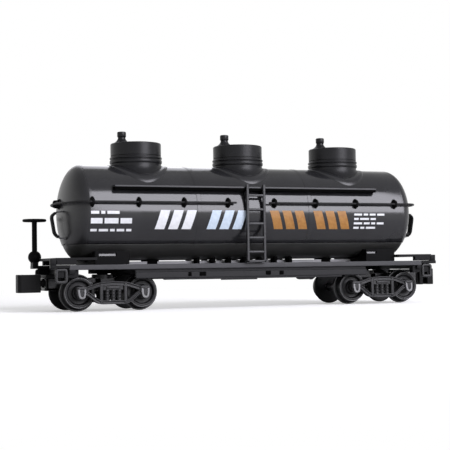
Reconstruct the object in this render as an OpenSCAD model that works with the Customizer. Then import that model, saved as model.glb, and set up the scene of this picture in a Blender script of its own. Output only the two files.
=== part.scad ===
// Model tank wagon for 9 mm gauge track, with three domes, two four-wheel trucks and hook couplers.
// X runs along the wagon with the hand brake at the -X end, -Y is the near side, Z is up.
// The origin lies midway between the trucks, level with the lowest point of the wheel flanges.
// Names ending in _b belong to the brake end, names ending in _a to the plain end.

/* [Tank] */
// Outside diameter of the tank
tank_d = 16.7; // [14:0.1:19]
// Length of the straight barrel between the two heads
barrel_len = 59.5; // [50:0.5:70]
// Depth of each domed head
head_depth = 3.5; // [2.5:0.1:5]
// Thickness of the tank's plastic shell
shell_wall = 1; // [0.6:0.1:1.6]
// Angle below the tank's axis at which the upper shell meets the belly
seam_angle = 41; // [30:1:55]
// How far the belly lies inside the line of the upper shell
belly_inset = 0.1; // [0.05:0.01:0.2]
// Clear height between the deck and the underside of the tank
tank_gap = 0.55; // [0.3:0.05:1.2]
// Width of the ballast weight inside the belly
weight_w = 7; // [4:0.5:9]
// Height of the ballast weight
weight_h = 3; // [1.5:0.5:4]
// Length of the ballast weight
weight_len = 48; // [30:1:55]

/* [Domes] */
// Distance from one dome to the next
dome_pitch = 19.4; // [16:0.1:21]
// Outside diameter of a dome
dome_d = 8.9; // [7:0.1:10]
// Height of a dome's top above the top of the tank
dome_rise = 4.05; // [3.8:0.05:6]
// Thickness of a dome's wall
dome_wall = 0.8; // [0.5:0.1:1.2]
// How far the saddle flange reaches beyond the dome
flange_reach = 1.45; // [1:0.05:2.2]
// Thickness of the saddle flange
flange_t = 0.2; // [0.2:0.05:0.6]
// Height of the band's lower edge above the top of the tank
band_rise = 0.75; // [0.5:0.05:1]
// Height of the band round a dome
band_h = 0.65; // [0.4:0.05:1]
// How far the band stands proud of the dome
band_proud = 0.25; // [0.1:0.05:0.4]
// Height of a dome lid
lid_t = 2.3; // [1.6:0.05:2.5]
// Radius of a lid's rounded rim
lid_round = 0.3; // [0.2:0.05:0.5]
// Depth of the spigot under a lid
lid_spigot_h = 0.8; // [0.4:0.1:1.2]
// Distance of a safety valve from its dome's axis
valve_offset = 2.55; // [1.5:0.05:2.8]
// Height of a safety valve
valve_h = 2; // [1.4:0.1:3]
// Diameter of a safety valve's flared foot
valve_foot_d = 2.5; // [2:0.1:2.8]
// Diameter of a safety valve's cap
valve_cap_d = 1.75; // [1.3:0.05:1.9]
// Diameter of a safety valve's neck
valve_neck_d = 1.5; // [1.1:0.05:1.6]
// Height of a safety valve's neck above the lid
valve_neck_z = 0.9; // [0.6:0.05:1]
// Height of the lower edge of a safety valve's cap above the lid
valve_cap_z = 1.05; // [1.05:0.05:1.2]
// Thickness of the rim of a safety valve's foot
valve_rim_t = 0.16; // [0.1:0.02:0.3]
// Size of the chamfer round the top of a safety valve
valve_chamfer = 0.18; // [0.1:0.02:0.3]
// Diameter of a safety valve's spigot
valve_pin_d = 0.8; // [0.5:0.05:1]

/* [Tank fittings] */
// Length of each side walkway
walkway_len = 49.6; // [40:0.2:56]
// Height of a walkway's edge
walkway_h = 1.1; // [0.7:0.1:1.5]
// Angle above the tank's axis at which a walkway's top meets the tank
walkway_angle = 32; // [26:1:38]
// Distance along the wagon by which walkways and handrails lie towards the brake end
rail_offset = 0.9; // [0:0.1:1.5]
// Diameter of the handrail wire
rail_d = 0.4; // [0.3:0.05:0.6]
// Distance from the tank's side to the centre of the handrail
rail_standoff = 0.75; // [0.6:0.05:1.1]
// Height of the handrail above the tank's axis
rail_rise = 1.55; // [0.5:0.05:2.5]
// Clear length between the two handrails beside the ladder
rail_break = 6; // [5:0.1:8]
// Distance from the pole of a head to the handrail that wraps round it
rail_wrap = 0.95; // [0.7:0.05:1.5]
// Radius of the handrail's bend beside a head
rail_bend_r = 3; // [2:0.1:3.5]
// How far the bead at each end of a bend stands proud of the wire
rail_bead = 0.02; // [0.01:0.01:0.03]
// Number of handrail posts on each half of a side
post_count = 4; // [3:1:6]
// Distance of the first post from the middle of the handrail's break
post_first = 4.4; // [4.2:0.1:5]
// Distance of the last post from the end of the barrel
post_inset = 1.1; // [0.8:0.1:2]
// Width of a handrail post
post_w = 0.8; // [0.6:0.05:1]
// Height of a handrail post
post_h = 1.85; // [1.4:0.05:2.2]
// Width of a ladder over its stiles
ladder_w = 3.65; // [2.5:0.05:4]
// Distance along the wagon by which the ladders lie towards the brake end
ladder_offset = 0.3; // [0:0.05:0.5]
// Height of a ladder's top above the walkway
ladder_rise = 0.35; // [0:0.05:0.6]
// Clear distance between the tank's side and a ladder
ladder_gap = 0.25; // [0.15:0.05:0.5]
// Width and depth of a ladder's stile
stile_t = 0.5; // [0.4:0.05:0.7]
// Number of rungs on a ladder
rung_count = 5; // [4:1:8]
// Thickness of a rung
rung_t = 0.42; // [0.3:0.02:0.6]
// Distance from the deck to the top of the lowest rung
rung_first = 2.1; // [1:0.1:2.5]
// Distance from the top of a ladder down to its last rung
rung_drop = 1.7; // [0.5:0.05:2]
// Length of the foot that a ladder stands on
ladder_foot = 1.4; // [0.8:0.1:2]
// Distance of each tank strap from the middle of the tank
strap_x = 10.6; // [8:0.1:12]
// Width of a tank strap
strap_w = 0.8; // [0.4:0.1:1.2]
// Thickness of a tank strap
strap_t = 0.14; // [0.1:0.02:0.2]
// Distance from the pole of a head to the outside of the end grab
grab_reach = 2.05; // [1.8:0.05:3]
// Thickness of an end grab
grab_t = 0.55; // [0.3:0.05:0.6]
// Width of an end grab
grab_w = 1.2; // [0.5:0.05:1.2]
// Distance of an end grab from the middle of the head
grab_y = 2.2; // [2:0.1:4]
// Depth of the middle of an end grab below the tank's axis
grab_drop = 1.9; // [1:0.1:3]
// Height of the straight part of an end grab
grab_h = 2.6; // [2:0.1:4]
// Height of each bent end of an end grab
grab_bend = 1.35; // [0.8:0.05:1.6]

/* [Underframe] */
// Width of the deck
deck_w = 16.4; // [15.6:0.1:18]
// Thickness of the deck
deck_t = 0.85; // [0.6:0.05:1.2]
// Length of deck beyond each end of the tank
deck_overhang = 3.35; // [3:0.05:5]
// Clear height between the wheel flanges and the deck
wheel_headroom = 0.7; // [0.6:0.05:1.2]
// Depth of the body bolsters under the deck
body_bolster_h = 0.7; // [0.5:0.05:0.8]
// Width of the body bolsters along the wagon
body_bolster_w = 3.8; // [3:0.1:5]
// Length of the body bolsters across the wagon
body_bolster_len = 5; // [4:0.1:8]
// Thickness of the side sills
side_sill_t = 0.6; // [0.4:0.05:1]
// How far the side sills lie inside the edge of the deck
side_sill_inset = 0.3; // [0.1:0.05:0.5]
// Distance from a truck's centre to the end of the side sills
side_sill_gap = 3.7; // [2.8:0.1:8]
// Width of the centre sill
centre_sill_w = 3.2; // [2:0.1:4]
// Depth of the centre sill below the deck
centre_sill_h = 2.2; // [1.2:0.1:2.6]
// Distance from a truck's centre to the end of the centre sill
centre_sill_gap = 11.2; // [11:0.1:14]
// Thickness of the end sills under the deck
end_sill_t = 1; // [0.5:0.1:1.5]
// Depth of the end sills below the deck
end_sill_h = 0.5; // [0.3:0.05:0.55]
// Thickness of the end blocks on the horns, along the wagon
end_beam_t = 1; // [0.6:0.1:1.4]
// Height of the end blocks above the deck
end_beam_h = 0.5; // [0.2:0.05:0.6]
// Width over the two end blocks of one end
end_beam_w = 16; // [15:0.1:17]
// Length of the bay that each end of the deck has over its coupler
bay_len = 3.1; // [2:0.1:3.2]
// Width of the horns on both sides of a bay
horn_w = 1.1; // [0.9:0.05:1.6]
// Thickness of the horns
horn_t = 0.55; // [0.4:0.05:0.7]
// How far the horn under the hand brake reaches inwards from the staff
stand_reach = 0.7; // [0.6:0.05:1.2]
// Length of an end platform
platform_len = 7.9; // [6:0.1:8.5]
// Thickness of an end platform
platform_t = 0.45; // [0.3:0.05:0.7]
// Clear height between the end blocks and their platform
platform_gap = 0.25; // [0.25:0.05:0.5]
// Length of the legs at a platform's corners
platform_leg_len = 4.4; // [3:0.1:4.6]
// Width of the legs at a platform's corners
platform_leg_w = 0.9; // [0.6:0.05:1.2]
// Clear distance between a platform and the tank
platform_clear = 0.5; // [0.3:0.05:0.8]
// Length of a saddle along the wagon
saddle_len = 6; // [4.6:0.1:7]
// Width of a saddle across the wagon
saddle_w = 13; // [10:0.2:14]
// Length of the slot in each side of a saddle
saddle_slot_len = 4.2; // [2:0.1:4.4]
// Height of the slot in each side of a saddle
saddle_slot_h = 0.5; // [0.3:0.05:0.7]
// Depth of the slot in each side of a saddle
saddle_slot_depth = 1.2; // [0.5:0.1:1.5]
// Height of the slot's lower edge above the deck
saddle_slot_rise = 1.25; // [0.8:0.05:1.6]
// Thickness of the saddle above that slot
saddle_lip_t = 0.5; // [0.3:0.05:0.8]
// Width of the bearer along the middle of the deck
bearer_w = 2.6; // [2:0.1:4]
// Clear height between the bearer and the bottom of the tank
bearer_gap = 0.2; // [0.1:0.05:0.4]
// Clear distance between the bearer and each saddle
bearer_inset = 0.5; // [0.3:0.1:2]
// Number of chocks that hold the tank between the screws
chock_count = 7; // [2:1:8]
// Distance from one chock to the next
chock_pitch = 3; // [3:0.1:6]
// Thickness of a chock along the wagon
chock_t = 0.6; // [0.5:0.1:1.2]
// Width of a chock across the wagon
chock_w = 6; // [4:0.2:8]
// Length of a stirrup step
step_len = 2.1; // [2:0.1:3.2]
// Height of a stirrup step
step_h = 2.5; // [1.5:0.1:3]
// Thickness of a stirrup step's bar
step_t = 0.45; // [0.3:0.05:0.6]
// Distance of a stirrup step from the end of the deck
step_inset = 0.8; // [0.4:0.05:1]

/* [Hand brake and brake cylinder] */
// Distance of the brake staff from the end of the deck
staff_inset = 0.45; // [0.4:0.05:1]
// Distance of the brake staff from the middle of the wagon
staff_y = 6.5; // [5.5:0.1:6.8]
// Diameter of the brake staff
staff_d = 0.95; // [0.7:0.05:1.1]
// Height of the top of the brake wheel above its end block
staff_h = 7.7; // [5:0.1:9]
// Diameter of the brake wheel
brake_wheel_d = 4.2; // [3:0.1:4.2]
// Thickness of the brake wheel's rim
brake_rim_t = 0.5; // [0.35:0.05:0.6]
// Number of spokes in the brake wheel
brake_spokes = 5; // [3:1:6]
// Thickness of a brake wheel's spoke
spoke_t = 0.26; // [0.2:0.02:0.34]
// Diameter of the ball housing at the foot of the staff
housing_d = 2.3; // [1.9:0.05:2.6]
// Depth by which the foot of the ball housing is cut flat
housing_flat = 0.15; // [0.1:0.05:0.3]
// Thickness of the floor under the staff in the ball housing
housing_floor = 0.4; // [0.3:0.05:0.8]
// Distance of the brake cylinder from the middle of the wagon, towards the plain end
cylinder_x = 10.8; // [9:0.1:12]
// Distance of the brake cylinder from the middle of the wagon, towards the near side
cylinder_y = 5.2; // [4:0.1:5.6]
// Diameter of the brake cylinder
cylinder_d = 2.3; // [1.6:0.1:2.6]
// Length of the brake cylinder
cylinder_len = 3.4; // [2:0.1:5]
// Width of the bracket that hangs the brake cylinder from the deck
cylinder_bracket = 1.2; // [0.8:0.1:1.6]
// Diameter of the brake cylinder's rod
cylinder_rod_d = 0.8; // [0.5:0.05:1]
// Length of rod that shows at each end of the brake cylinder
cylinder_rod_len = 0.6; // [0.3:0.05:1]

/* [Wheels and axles] */
// Diameter of a wheel over its flange
flange_d = 6.3; // [5.6:0.05:6.8]
// Diameter of a wheel's tread
tread_d = 5.2; // [4.6:0.05:5.4]
// Distance between the backs of the two wheels on an axle
back_to_back = 7.2; // [6.8:0.05:7.6]
// Thickness of a wheel's flange
wheel_flange_t = 0.55; // [0.4:0.05:0.7]
// Size of the bevels on a flange's edge
flange_bevel = 0.18; // [0.1:0.02:0.2]
// Width of a wheel's tread
tread_w = 1.45; // [1.2:0.05:1.7]
// Thickness of a wheel's rim
rim_t = 0.55; // [0.4:0.05:0.8]
// Depth of the dish in a wheel's face
dish_depth = 0.45; // [0.2:0.05:0.6]
// How far the sides of that dish slope inwards
dish_slope = 0.15; // [0.05:0.05:0.2]
// Diameter of a wheel's hub
hub_d = 2.2; // [1.9:0.1:2.6]
// Diameter of an axle
axle_d = 1.5; // [1:0.05:1.6]
// Length of an axle over its needle points
axle_len = 13.7; // [13.2:0.05:14]
// Diameter of the blunt tip of a needle point
axle_tip_d = 0.19; // [0.1:0.01:0.3]

/* [Trucks] */
// Distance from a truck's centre to the end of the deck
truck_inset = 10.9; // [10.5:0.1:12.5]
// Distance between the axles of a truck
wheelbase = 11; // [10.4:0.1:12]
// Clear distance between a wheel's face and the sideframe
side_gap = 0.4; // [0.3:0.05:0.6]
// Thickness of a sideframe
side_t = 1.2; // [1:0.05:1.5]
// How far a journal box stands proud of its sideframe
journal_proud = 0.3; // [0.1:0.05:0.5]
// Width of a journal box
journal_w = 1.7; // [1.4:0.1:2]
// Height of a journal box
journal_h = 2.1; // [1.8:0.1:2.4]
// Height of a sideframe's top above the axles
side_top = 1.85; // [1.5:0.05:2]
// Depth of a sideframe's lowest edge below the axles
side_bottom = 2.05; // [1.6:0.05:2.2]
// Thickness of a sideframe's chords
chord_t = 0.6; // [0.45:0.05:0.8]
// Thickness of a sideframe's chords beside its slanting windows
brace_t = 0.8; // [0.6:0.05:0.95]
// How much lower a journal box's outer end is than its shoulder
journal_slope = 0.2; // [0.1:0.05:0.4]
// How far the bolster's end lies inside the face of the sideframe
bolster_recess = 0.2; // [0.1:0.05:0.4]
// Width of the window for the bolster and the spring nest
side_window_w = 3.5; // [3:0.1:3.8]
// Width of the columns beside that window
column_w = 0.65; // [0.5:0.05:0.9]
// Diameter of a moulded spring in the sideframe
nest_d = 0.95; // [0.7:0.05:1.05]
// Diameter of a moulded spring between its rings
nest_core_d = 0.7; // [0.5:0.05:0.7]
// Number of moulded rings on each of those springs
nest_rings = 4; // [3:1:6]
// Clear distance between a wheel's flange and the truck bolster
bolster_gap = 0.45; // [0.35:0.05:0.6]
// Height of the truck bolster's beam
bolster_h = 1.5; // [1:0.1:1.6]
// Height of the underside of the truck bolster above the axles
bolster_rise = 0.25; // [0.1:0.05:0.5]
// Diameter of the king pin
king_pin_d = 1.9; // [1.4:0.1:2.2]
// Diameter of the king pin's head
king_head_d = 3.2; // [2.6:0.1:3.4]
// Thickness of the king pin's head
king_head_t = 0.6; // [0.4:0.1:0.9]

/* [Couplers] */
// Height of the coupler's middle above the axles
coupler_rise = 1.65; // [1.5:0.05:1.8]
// Width of the arm that carries a coupler pocket
arm_w = 3; // [2:0.1:4]
// Clear height between an axle and the arm over it
arm_gap = 0.6; // [0.4:0.05:0.8]
// Clear distance between an axle and the coupler pocket
pocket_gap = 0.35; // [0.25:0.05:0.5]
// Length of a coupler pocket
pocket_len = 3.8; // [3:0.1:4]
// Width of a coupler pocket
pocket_w = 4.6; // [4.2:0.1:5]
// Height of a coupler pocket with its lid
pocket_h = 2.5; // [2.3:0.05:2.6]
// Thickness of a coupler pocket's walls
pocket_wall = 0.55; // [0.4:0.05:0.7]
// Thickness of a coupler pocket's lid
pocket_lid_t = 0.38; // [0.3:0.02:0.5]
// Width of the mouth of a coupler pocket
pocket_mouth_w = 2.4; // [2.2:0.05:2.6]
// Width of a coupler's shank
shank_w = 1.6; // [1.2:0.05:1.7]
// Height of a coupler's shank
shank_h = 1; // [0.8:0.05:1.1]
// Width of the cross bar at a shank's inner end
tee_w = 2.8; // [2.7:0.05:3]
// Thickness of that cross bar
tee_t = 0.55; // [0.4:0.05:0.6]
// Free play of the cross bar in the pocket
tee_play = 0.25; // [0.22:0.01:0.3]
// Distance from a coupler pocket to the coupler's head
head_gap = 0.75; // [0.6:0.05:1.4]
// Length of a coupler's head
head_len = 3.85; // [3.8:0.05:5]
// Width of a coupler's head
head_w = 3.6; // [3:0.1:4]
// Height of a coupler's head
head_h = 3.05; // [2.4:0.05:3.2]
// Thickness of the bars of a coupler's head
head_bar_t = 0.85; // [0.7:0.05:1.1]
// Length of the hook that turns back inside a coupler's head
hook_len = 0.7; // [0.4:0.05:1]
// Width of the mouth in the side of a coupler's head
hook_mouth = 0.9; // [0.6:0.05:0.9]
// Size of the chamfer on a coupler's nose
nose_chamfer = 0.6; // [0.3:0.05:0.9]
// Free play behind a coupler's spring
spring_play = 0.1; // [0.08:0.01:0.15]
// Diameter of a coupler's spring
spring_d = 1; // [0.7:0.05:1.2]

/* [Fasteners and clearances] */
// Distance from a truck's centre to the body screw beside it
screw_gap = 8.7; // [8.7:0.05:9.5]
// Diameter of a body screw
screw_d = 1.4; // [1:0.1:1.6]
// Diameter of a body screw's head
screw_head_d = 2.6; // [2:0.1:3]
// Thickness of a body screw's head
screw_head_t = 0.6; // [0.4:0.1:0.9]
// Diameter of the pillars round the body screws
pillar_d = 3.2; // [2.6:0.1:3.4]
// Length of thread that a body screw has inside the belly's wall
screw_bite = 0.6; // [0.4:0.1:0.7]
// Gap between pieces that sit on each other
seat_gap = 0.03; // [0.01:0.01:0.05]
// Radial gap between a turning pin and its bore
run_gap = 0.05; // [0.02:0.01:0.08]
// Gap between a truck's centre plate and the body bolster
swivel_gap = 0.1; // [0.05:0.01:0.2]
// Clear height between the sideframes and the side sills
sill_gap = 0.35; // [0.2:0.05:0.6]

/* [Hidden] */
$fn = 64;
// Steps of the curve of a head, and of a rounded rim
head_steps = 20;
round_steps = 6;
// Cutting tools reach this far past what they cut
cut = 1;

tank_r = tank_d / 2;
barrel_half = barrel_len / 2;
pole_x = barrel_half + head_depth;
deck_half = pole_x + deck_overhang;
truck_x = deck_half - truck_inset;
screw_x = truck_x - screw_gap;

axle_z = flange_d / 2;
axle_r = axle_d / 2;
axle_half = axle_len / 2;
axle_x = wheelbase / 2;
deck_bottom = axle_z + flange_d / 2 + wheel_headroom;
deck_top = deck_bottom + deck_t;
deck_y = deck_w / 2;
bolster_bottom = deck_bottom - body_bolster_h;
plate_top = bolster_bottom - swivel_gap;

tank_z = deck_top + tank_gap + tank_r;
tank_top = tank_z + tank_r;
tank_in_r = tank_r - shell_wall;
seam_z = tank_z - tank_r * sin(seam_angle);
dome_r = dome_d / 2;
dome_top = tank_top + dome_rise;
lid_seat = dome_top - lid_t;
weight_z = tank_z - sqrt(pow(tank_in_r - seat_gap, 2) - pow(weight_w / 2, 2));

ladder_y = tank_r + ladder_gap;
walkway_y = ladder_y - seat_gap;
walkway_z = tank_z + tank_r * sin(walkway_angle);
rail_y = tank_r + rail_standoff;
rail_z = tank_z + rail_rise;
rail_r = rail_d / 2;
wrap_depth = head_depth + rail_wrap;
// Radius and half angle of the wire round a head, which meets both bends in line
wrap_r = (pow(wrap_depth, 2) + pow(rail_y - rail_bend_r, 2) - pow(rail_bend_r, 2))
    / (2 * (wrap_depth - rail_bend_r));
wrap_a = atan2(rail_y - rail_bend_r, wrap_r - wrap_depth);
post_span = barrel_half - post_inset - post_first;
post_xs = [for (i = [0 : post_count - 1]) post_first + post_span * i / (post_count - 1)];

side_in = back_to_back / 2 + wheel_flange_t + tread_w + side_gap;
side_out = side_in + side_t;
bolster_half = axle_x - flange_d / 2 - bolster_gap;
bolster_z = axle_z + bolster_rise;
side_sill_bottom = axle_z + side_top + sill_gap;
side_sill_y = deck_y - side_sill_inset;
side_sill_half = truck_x - side_sill_gap;
centre_sill_half = truck_x - centre_sill_gap;

beam_top = deck_top + end_beam_h;
platform_z = beam_top + platform_gap;
staff_x = deck_half - staff_inset;
housing_z = beam_top + housing_d / 2 - housing_flat;
staff_top = beam_top + staff_h;

coupler_z = axle_z + coupler_rise;
arm_z = axle_z + axle_r + arm_gap;
pocket_x = axle_x + axle_r + pocket_gap;
pocket_front = pocket_x + pocket_len;
pocket_z = coupler_z - pocket_h / 2;
pocket_top = pocket_z + pocket_h;
pocket_lid_z = pocket_top - pocket_lid_t;
lip_x = pocket_front - pocket_wall;
tee_x = lip_x - tee_play - tee_t;
head_x = pocket_front + head_gap;
spring_x = pocket_x + pocket_wall + spring_play;
spring_len = tee_x - 2 * seat_gap - spring_x;

black = "#1d1d20";
dark = "#2a2a2d";
steel = "#8d9096";
brass = "#b59a5b";

ENDS = ["b", "a"];
SIDES = ["near", "far"];
PLACES = ["outer", "inner"];

// Box from one corner to the opposite one
module box(low, high) {
    translate(low) cube(high - low);
}

// Solid of revolution about the wagon's length, with a domed head at each end
module tank_form(r, depth) {
    quarter = [for (i = [0 : head_steps]) 90 * i / head_steps];
    right = [for (a = quarter) [r * sin(a), barrel_half + depth * cos(a)]];
    left = [for (p = right) [p[0], -p[1]]];
    outline = concat(right, [for (i = [head_steps : -1 : 0]) left[i]]);
    translate([0, 0, tank_z]) rotate([0, 90, 0]) rotate_extrude() polygon(outline);
}

// Straight bar along the wagon on the tank's axis
module tank_bar(r, x, len) {
    translate([x - len / 2, 0, tank_z]) rotate([0, 90, 0]) cylinder(r = r, h = len);
}

// Everything below the level seam between the upper shell and the belly
module below_seam(lift) {
    box([-deck_half, -tank_d, 0], [deck_half, tank_d, seam_z + lift]);
}

// Room for both tank straps
module strap_room() {
    for (s = [-1, 1]) tank_bar(tank_r + strap_t + seat_gap, s * strap_x, strap_w + 2 * seat_gap);
}

module tank_hollow(inset) {
    difference() {
        tank_form(tank_r - inset, head_depth - inset);
        tank_form(tank_in_r, head_depth - shell_wall);
    }
}

module tank_shell() {
    color(black) difference() {
        tank_hollow(0);
        below_seam(seat_gap);
    }
}

module tank_belly() {
    color(black) difference() {
        intersection() {
            tank_hollow(belly_inset);
            below_seam(0);
        }
        for (s = [-1, 1]) translate([s * screw_x, 0, deck_top])
            cylinder(d = screw_d + 2 * seat_gap, h = tank_gap + shell_wall + cut);
    }
}

module weight_bar() {
    color(steel) translate([0, 0, weight_z + weight_h / 2])
        cube([weight_len, weight_w, weight_h], center = true);
}

module dome(x) {
    color(black) translate([x, 0, 0]) difference() {
        union() {
            translate([0, 0, tank_z]) cylinder(r = dome_r, h = lid_seat - tank_z);
            translate([0, 0, tank_top + band_rise]) cylinder(r = dome_r + band_proud, h = band_h);
            intersection() {
                translate([0, 0, tank_z]) cylinder(r = dome_r + flange_reach, h = tank_d);
                tank_bar(tank_r + flange_t, 0, barrel_len);
            }
        }
        tank_bar(tank_r + seat_gap, 0, 2 * barrel_len);
        translate([0, 0, tank_z]) cylinder(r = dome_r - dome_wall, h = tank_d);
    }
}

module dome_lid(x) {
    spigot_r = dome_r - dome_wall - seat_gap;
    rim = [for (i = [0 : round_steps]) let (a = 90 * i / round_steps)
        [dome_r - lid_round + lid_round * cos(a), lid_t - lid_round + lid_round * sin(a)]];
    outline = concat([[0, -lid_spigot_h], [spigot_r, -lid_spigot_h], [spigot_r, seat_gap],
        [dome_r, seat_gap]], rim, [[0, lid_t]]);
    color(black) translate([x, 0, lid_seat]) difference() {
        rotate_extrude() polygon(outline);
        translate([-valve_offset, 0, -lid_spigot_h - cut])
            cylinder(d = valve_pin_d + 2 * seat_gap, h = lid_t + lid_spigot_h + 2 * cut);
    }
}

module safety_valve(x) {
    foot = valve_foot_d / 2;
    cap = valve_cap_d / 2;
    neck = valve_neck_d / 2;
    pin = valve_pin_d / 2;
    flare = [for (i = [0 : round_steps]) let (a = 90 * i / round_steps)
        [foot - (foot - neck) * sin(a), valve_rim_t + (valve_neck_z - valve_rim_t) * (1 - cos(a))]];
    outline = concat([[0, -lid_t], [pin, -lid_t], [pin, seat_gap], [foot, seat_gap]], flare,
        [[cap, valve_cap_z], [cap, valve_h - valve_chamfer], [cap - valve_chamfer, valve_h], [0, valve_h]]);
    color(black) translate([x - valve_offset, 0, dome_top]) rotate_extrude() polygon(outline);
}

// Draws the near side as it stands and the far side mirrored across the wagon's length
module on_side(side) {
    if (side == "near") children();
    if (side == "far") mirror([0, 1, 0]) children();
}

// Draws the plain end as it stands and the brake end mirrored
module on_end(e) {
    if (e == "a") children();
    if (e == "b") mirror([1, 0, 0]) children();
}

// Draws the plain end as it stands and the brake end turned half round
module turned_end(e) {
    if (e == "a") children();
    if (e == "b") rotate(180) children();
}

module walkway(side) {
    half = walkway_len / 2;
    color(black) on_side(side) difference() {
        box([-half - rail_offset, -walkway_y, walkway_z - walkway_h],
            [half - rail_offset, cut - tank_r * cos(walkway_angle), walkway_z]);
        tank_bar(tank_r + seat_gap, 0, 2 * barrel_len);
        strap_room();
    }
}

module ladder(side) {
    half = ladder_w / 2;
    foot_z = deck_top + seat_gap;
    top_z = walkway_z + ladder_rise;
    rung_last = top_z - rung_drop - rung_t;
    rung_step = (rung_last - deck_top - rung_first + rung_t) / (rung_count - 1);
    color(black) on_side(side) translate([-ladder_offset, 0, 0]) union() {
        for (s = [-1, 1]) translate([s * (half - stile_t / 2) - stile_t / 2, -ladder_y - stile_t, foot_z])
            cube([stile_t, stile_t, top_z - foot_z]);
        for (i = [0 : rung_count - 1])
            translate([-half + stile_t / 2, -ladder_y - stile_t + (stile_t - rung_t) / 2,
                deck_top + rung_first - rung_t + i * rung_step])
                cube([ladder_w - stile_t, rung_t, rung_t]);
        box([-half, -ladder_y - stile_t, foot_z],
            [half, -ladder_y - stile_t + ladder_foot, foot_z + rung_t]);
    }
}

module handrail(e) {
    turn = e == "a" ? 1 : -1;
    free_x = rail_break / 2 - turn * rail_offset;
    color(black) on_end(e) translate([0, 0, rail_z]) union() {
        for (s = [-1, 1]) translate([free_x, s * rail_y, 0]) rotate([0, 90, 0])
            cylinder(r = rail_r, h = barrel_half - free_x);
        for (s = [-1, 1]) translate([barrel_half, s * (rail_y - rail_bend_r), 0])
            rotate([0, 0, s > 0 ? wrap_a : -90]) rotate_extrude(angle = 90 - wrap_a)
                translate([rail_bend_r, 0]) circle(r = rail_r);
        translate([barrel_half + wrap_depth - wrap_r, 0, 0]) rotate([0, 0, -wrap_a])
            rotate_extrude(angle = 2 * wrap_a) translate([wrap_r, 0]) circle(r = rail_r);
        for (s = [-1, 1], a = [wrap_a, 90])
            translate([barrel_half + rail_bend_r * cos(a), s * (rail_y - rail_bend_r * (1 - sin(a))), 0])
                sphere(r = rail_r + rail_bead);
    }
}

// Upright oval post that points along -Y and ends at the middle of the wire
module post(reach) {
    rotate([90, 0, 0]) linear_extrude(reach) union() {
        square([post_w, post_h - post_w], center = true);
        for (s = [-1, 1]) translate([0, s * (post_h - post_w) / 2]) circle(d = post_w);
    }
}

module handrail_posts() {
    groove_r = rail_r + seat_gap;
    color(black) translate([0, 0, rail_z]) {
        for (side = SIDES, s = [-1, 1], x = post_xs)
            on_side(side) translate([s * x - rail_offset, 0, 0]) difference() {
                post(rail_y);
                translate([0, 0, -rail_rise]) rotate([0, 90, 0])
                    cylinder(r = tank_r + seat_gap, h = 2 * post_w, center = true);
                translate([0, -rail_y, 0]) rotate([0, 90, 0])
                    cylinder(r = groove_r, h = 2 * post_w, center = true);
                translate([rail_offset - s * x, 0, -rail_z]) strap_room();
            }
        for (e = ENDS) on_end(e) difference() {
            rotate([0, 0, 90]) post(barrel_half + wrap_depth);
            translate([0, 0, -rail_z]) tank_form(tank_r + seat_gap, head_depth + seat_gap);
            translate([barrel_half + wrap_depth, 0, 0]) rotate([90, 0, 0])
                cylinder(r = groove_r, h = 2 * post_w, center = true);
        }
    }
}

module tank_strap(e) {
    color(black) on_end(e) difference() {
        tank_bar(tank_r + strap_t, strap_x, strap_w);
        tank_bar(tank_r + seat_gap, strap_x, strap_w + cut);
        below_seam(seat_gap);
    }
}

module end_grab(e) {
    out = pole_x + grab_reach;
    mid = tank_z - grab_drop;
    half = grab_h / 2;
    full = half + grab_bend;
    root = barrel_half;
    outline = [[root, mid + full], [out - grab_bend / 2, mid + half + grab_bend / 2], [out, mid + half],
        [out, mid - half], [out - grab_bend / 2, mid - half - grab_bend / 2], [root, mid - full],
        [root, mid - full + grab_t], [out - grab_bend / 2 - grab_t, mid - half - grab_bend / 2 + grab_t],
        [out - grab_t, mid - half], [out - grab_t, mid + half],
        [out - grab_bend / 2 - grab_t, mid + half + grab_bend / 2 - grab_t], [root, mid + full - grab_t]];
    color(black) on_end(e) difference() {
        translate([0, -grab_y + grab_w / 2, 0]) rotate([90, 0, 0]) linear_extrude(grab_w) polygon(outline);
        tank_form(tank_r + seat_gap, head_depth + seat_gap);
    }
}

module underframe_solid() {
    end_sill_x = deck_half - bay_len - end_sill_t / 2;
    bearer_half = truck_x - saddle_len / 2 - bearer_inset;
    box([-deck_half, -deck_y, deck_bottom], [deck_half, deck_y, deck_top]);
    for (s = [-1, 1]) {
        box([-side_sill_half, s * (side_sill_y - side_sill_t / 2) - side_sill_t / 2, side_sill_bottom],
            [side_sill_half, s * (side_sill_y - side_sill_t / 2) + side_sill_t / 2, deck_bottom]);
        translate([s * truck_x - body_bolster_w / 2, -body_bolster_len / 2, bolster_bottom])
            cube([body_bolster_w, body_bolster_len, body_bolster_h]);
        translate([s * end_sill_x - end_sill_t / 2, -deck_y, deck_bottom - end_sill_h])
            cube([end_sill_t, deck_w, end_sill_h + deck_t]);
        translate([s * (deck_half - end_beam_t / 2) - end_beam_t / 2, -end_beam_w / 2, deck_top])
            cube([end_beam_t, end_beam_w, end_beam_h]);
        translate([s * screw_x, 0, deck_top]) cylinder(d = pillar_d, h = tank_gap + shell_wall);
    }
    box([-bearer_half, -bearer_w / 2, deck_top],
        [bearer_half, bearer_w / 2, deck_top + tank_gap - bearer_gap]);
    for (i = [0 : chock_count - 1])
        translate([(i - (chock_count - 1) / 2) * chock_pitch - chock_t / 2, -chock_w / 2, deck_top])
            cube([chock_t, chock_w, tank_gap + shell_wall]);
}

// Room over one coupler: open between the horns, and below them
module end_bay(e) {
    far_y = e == "b" ? staff_y - stand_reach : deck_y - horn_w;
    on_end(e) {
        box([deck_half - bay_len, horn_w - deck_y, bolster_bottom], [deck_half + cut, far_y, beam_top + cut]);
        box([deck_half - bay_len, -deck_w, bolster_bottom], [deck_half + cut, deck_w, deck_top - horn_t]);
    }
}

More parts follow.
